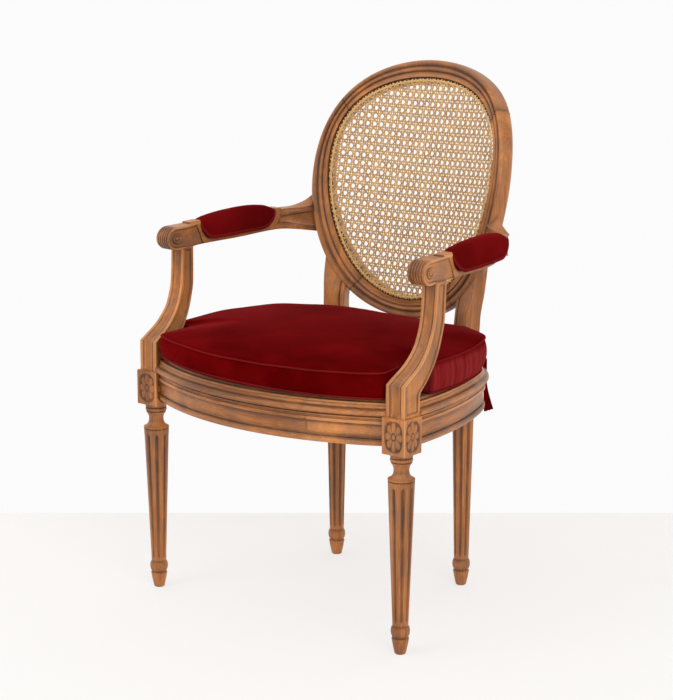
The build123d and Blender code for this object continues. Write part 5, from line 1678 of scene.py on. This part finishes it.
class CHAIR_OT_stage(bpy.types.Operator):
    """Pale floor and wall, soft studio light and the camera"""

    bl_idname = "chair.stage"
    bl_label = "Stage"
    bl_options = {"REGISTER", "UNDO"}

    def execute(self, context):
        scene = context.scene
        near, far = (VIEW_AHEAD * away for away in (FLOOR_NEAR, WALL_AWAY))
        left, right = (VIEW_BESIDE * side for side in (-STAGE_HALF, STAGE_HALF))
        high = UP * WALL_HIGH
        floor = [near + left, near + right, far + right, far + left]
        wall = [far + left, far + right, far + right + high, far + left + high]
        for name, lit, glow, corners in (
            ("floor", FLOOR_LIT, FLOOR_GLOW, floor),
            ("wall", WALL_LIT, WALL_GLOW, wall),
        ):
            mesh = bpy.data.meshes.new(name)
            mesh.from_pydata([tuple(corner) for corner in corners], [], [(0, 1, 2, 3)])
            mesh.materials.append(paint(f"{name} paint", scene.chair_colours.floor, lit, glow))
            linked(name, mesh)
        for name, place, power in LAMPS:
            lamp = bpy.data.lights.new(name, "AREA")
            lamp.shape = "DISK"
            lamp.size = LAMP_SIZE
            lamp.energy = power
            made = linked(name, lamp)
            made.location = place
            x, y, z = LAMP_AIM - np.array(place)
            made.rotation_euler = (math.atan2(math.hypot(x, y), -z), 0.0, math.atan2(-x, y))
        world = bpy.data.worlds.new("studio")
        world.use_nodes = True
        sky = world.node_tree.nodes["Background"].inputs
        sky["Color"].default_value = SKY
        sky["Strength"].default_value = SKY_STRENGTH
        scene.world = world
        scene.view_settings.view_transform = "Standard"
        lens = bpy.data.cameras.new("camera")
        lens.sensor_width = SENSOR
        lens.lens = SENSOR * FOCAL_PIXELS / PICTURE_PIXELS
        lens.clip_end = 50.0
        camera = linked("camera", lens)
        camera.location = CAMERA_PLACE
        camera.rotation_euler = CAMERA_TURN
        scene.camera = camera
        return {"FINISHED"}


class CHAIR_PT_panel(bpy.types.Panel):
    """Sizes, colours and pieces of the armchair"""

    bl_idname = "CHAIR_PT_panel"
    bl_label = "Armchair"
    bl_space_type = "VIEW_3D"
    bl_region_type = "UI"
    bl_category = "Armchair"

    def draw(self, context):
        layout = self.layout
        for group in (context.scene.chair_sizes, context.scene.chair_colours):
            box = layout.box()
            for name in group.__annotations__:
                box.prop(group, name)
        for operator in OPERATORS:
            layout.operator(operator.bl_idname)


OPERATORS = (
    CHAIR_OT_stage,
    CHAIR_OT_front_legs,
    CHAIR_OT_uprights,
    CHAIR_OT_oval,
    CHAIR_OT_seat_rails,
    CHAIR_OT_arms,
    CHAIR_OT_arm_pads,
    CHAIR_OT_back_cane,
    CHAIR_OT_seat_cane,
    CHAIR_OT_cushion,
    CHAIR_OT_ties,
)
CLASSES = (ChairSizes, ChairColours, *OPERATORS, CHAIR_PT_panel)


def register():
    for each in CLASSES:
        bpy.utils.register_class(each)
    bpy.types.Scene.chair_sizes = PointerProperty(type=ChairSizes)
    bpy.types.Scene.chair_colours = PointerProperty(type=ChairColours)


def unregister():
    del bpy.types.Scene.chair_colours
    del bpy.types.Scene.chair_sizes
    for each in reversed(CLASSES):
        bpy.utils.unregister_class(each)


def main():
    register()
    for operator in OPERATORS:
        group, name = operator.bl_idname.split(".")
        getattr(getattr(bpy.ops, group), name)()


if __name__ == "__main__":
    main()
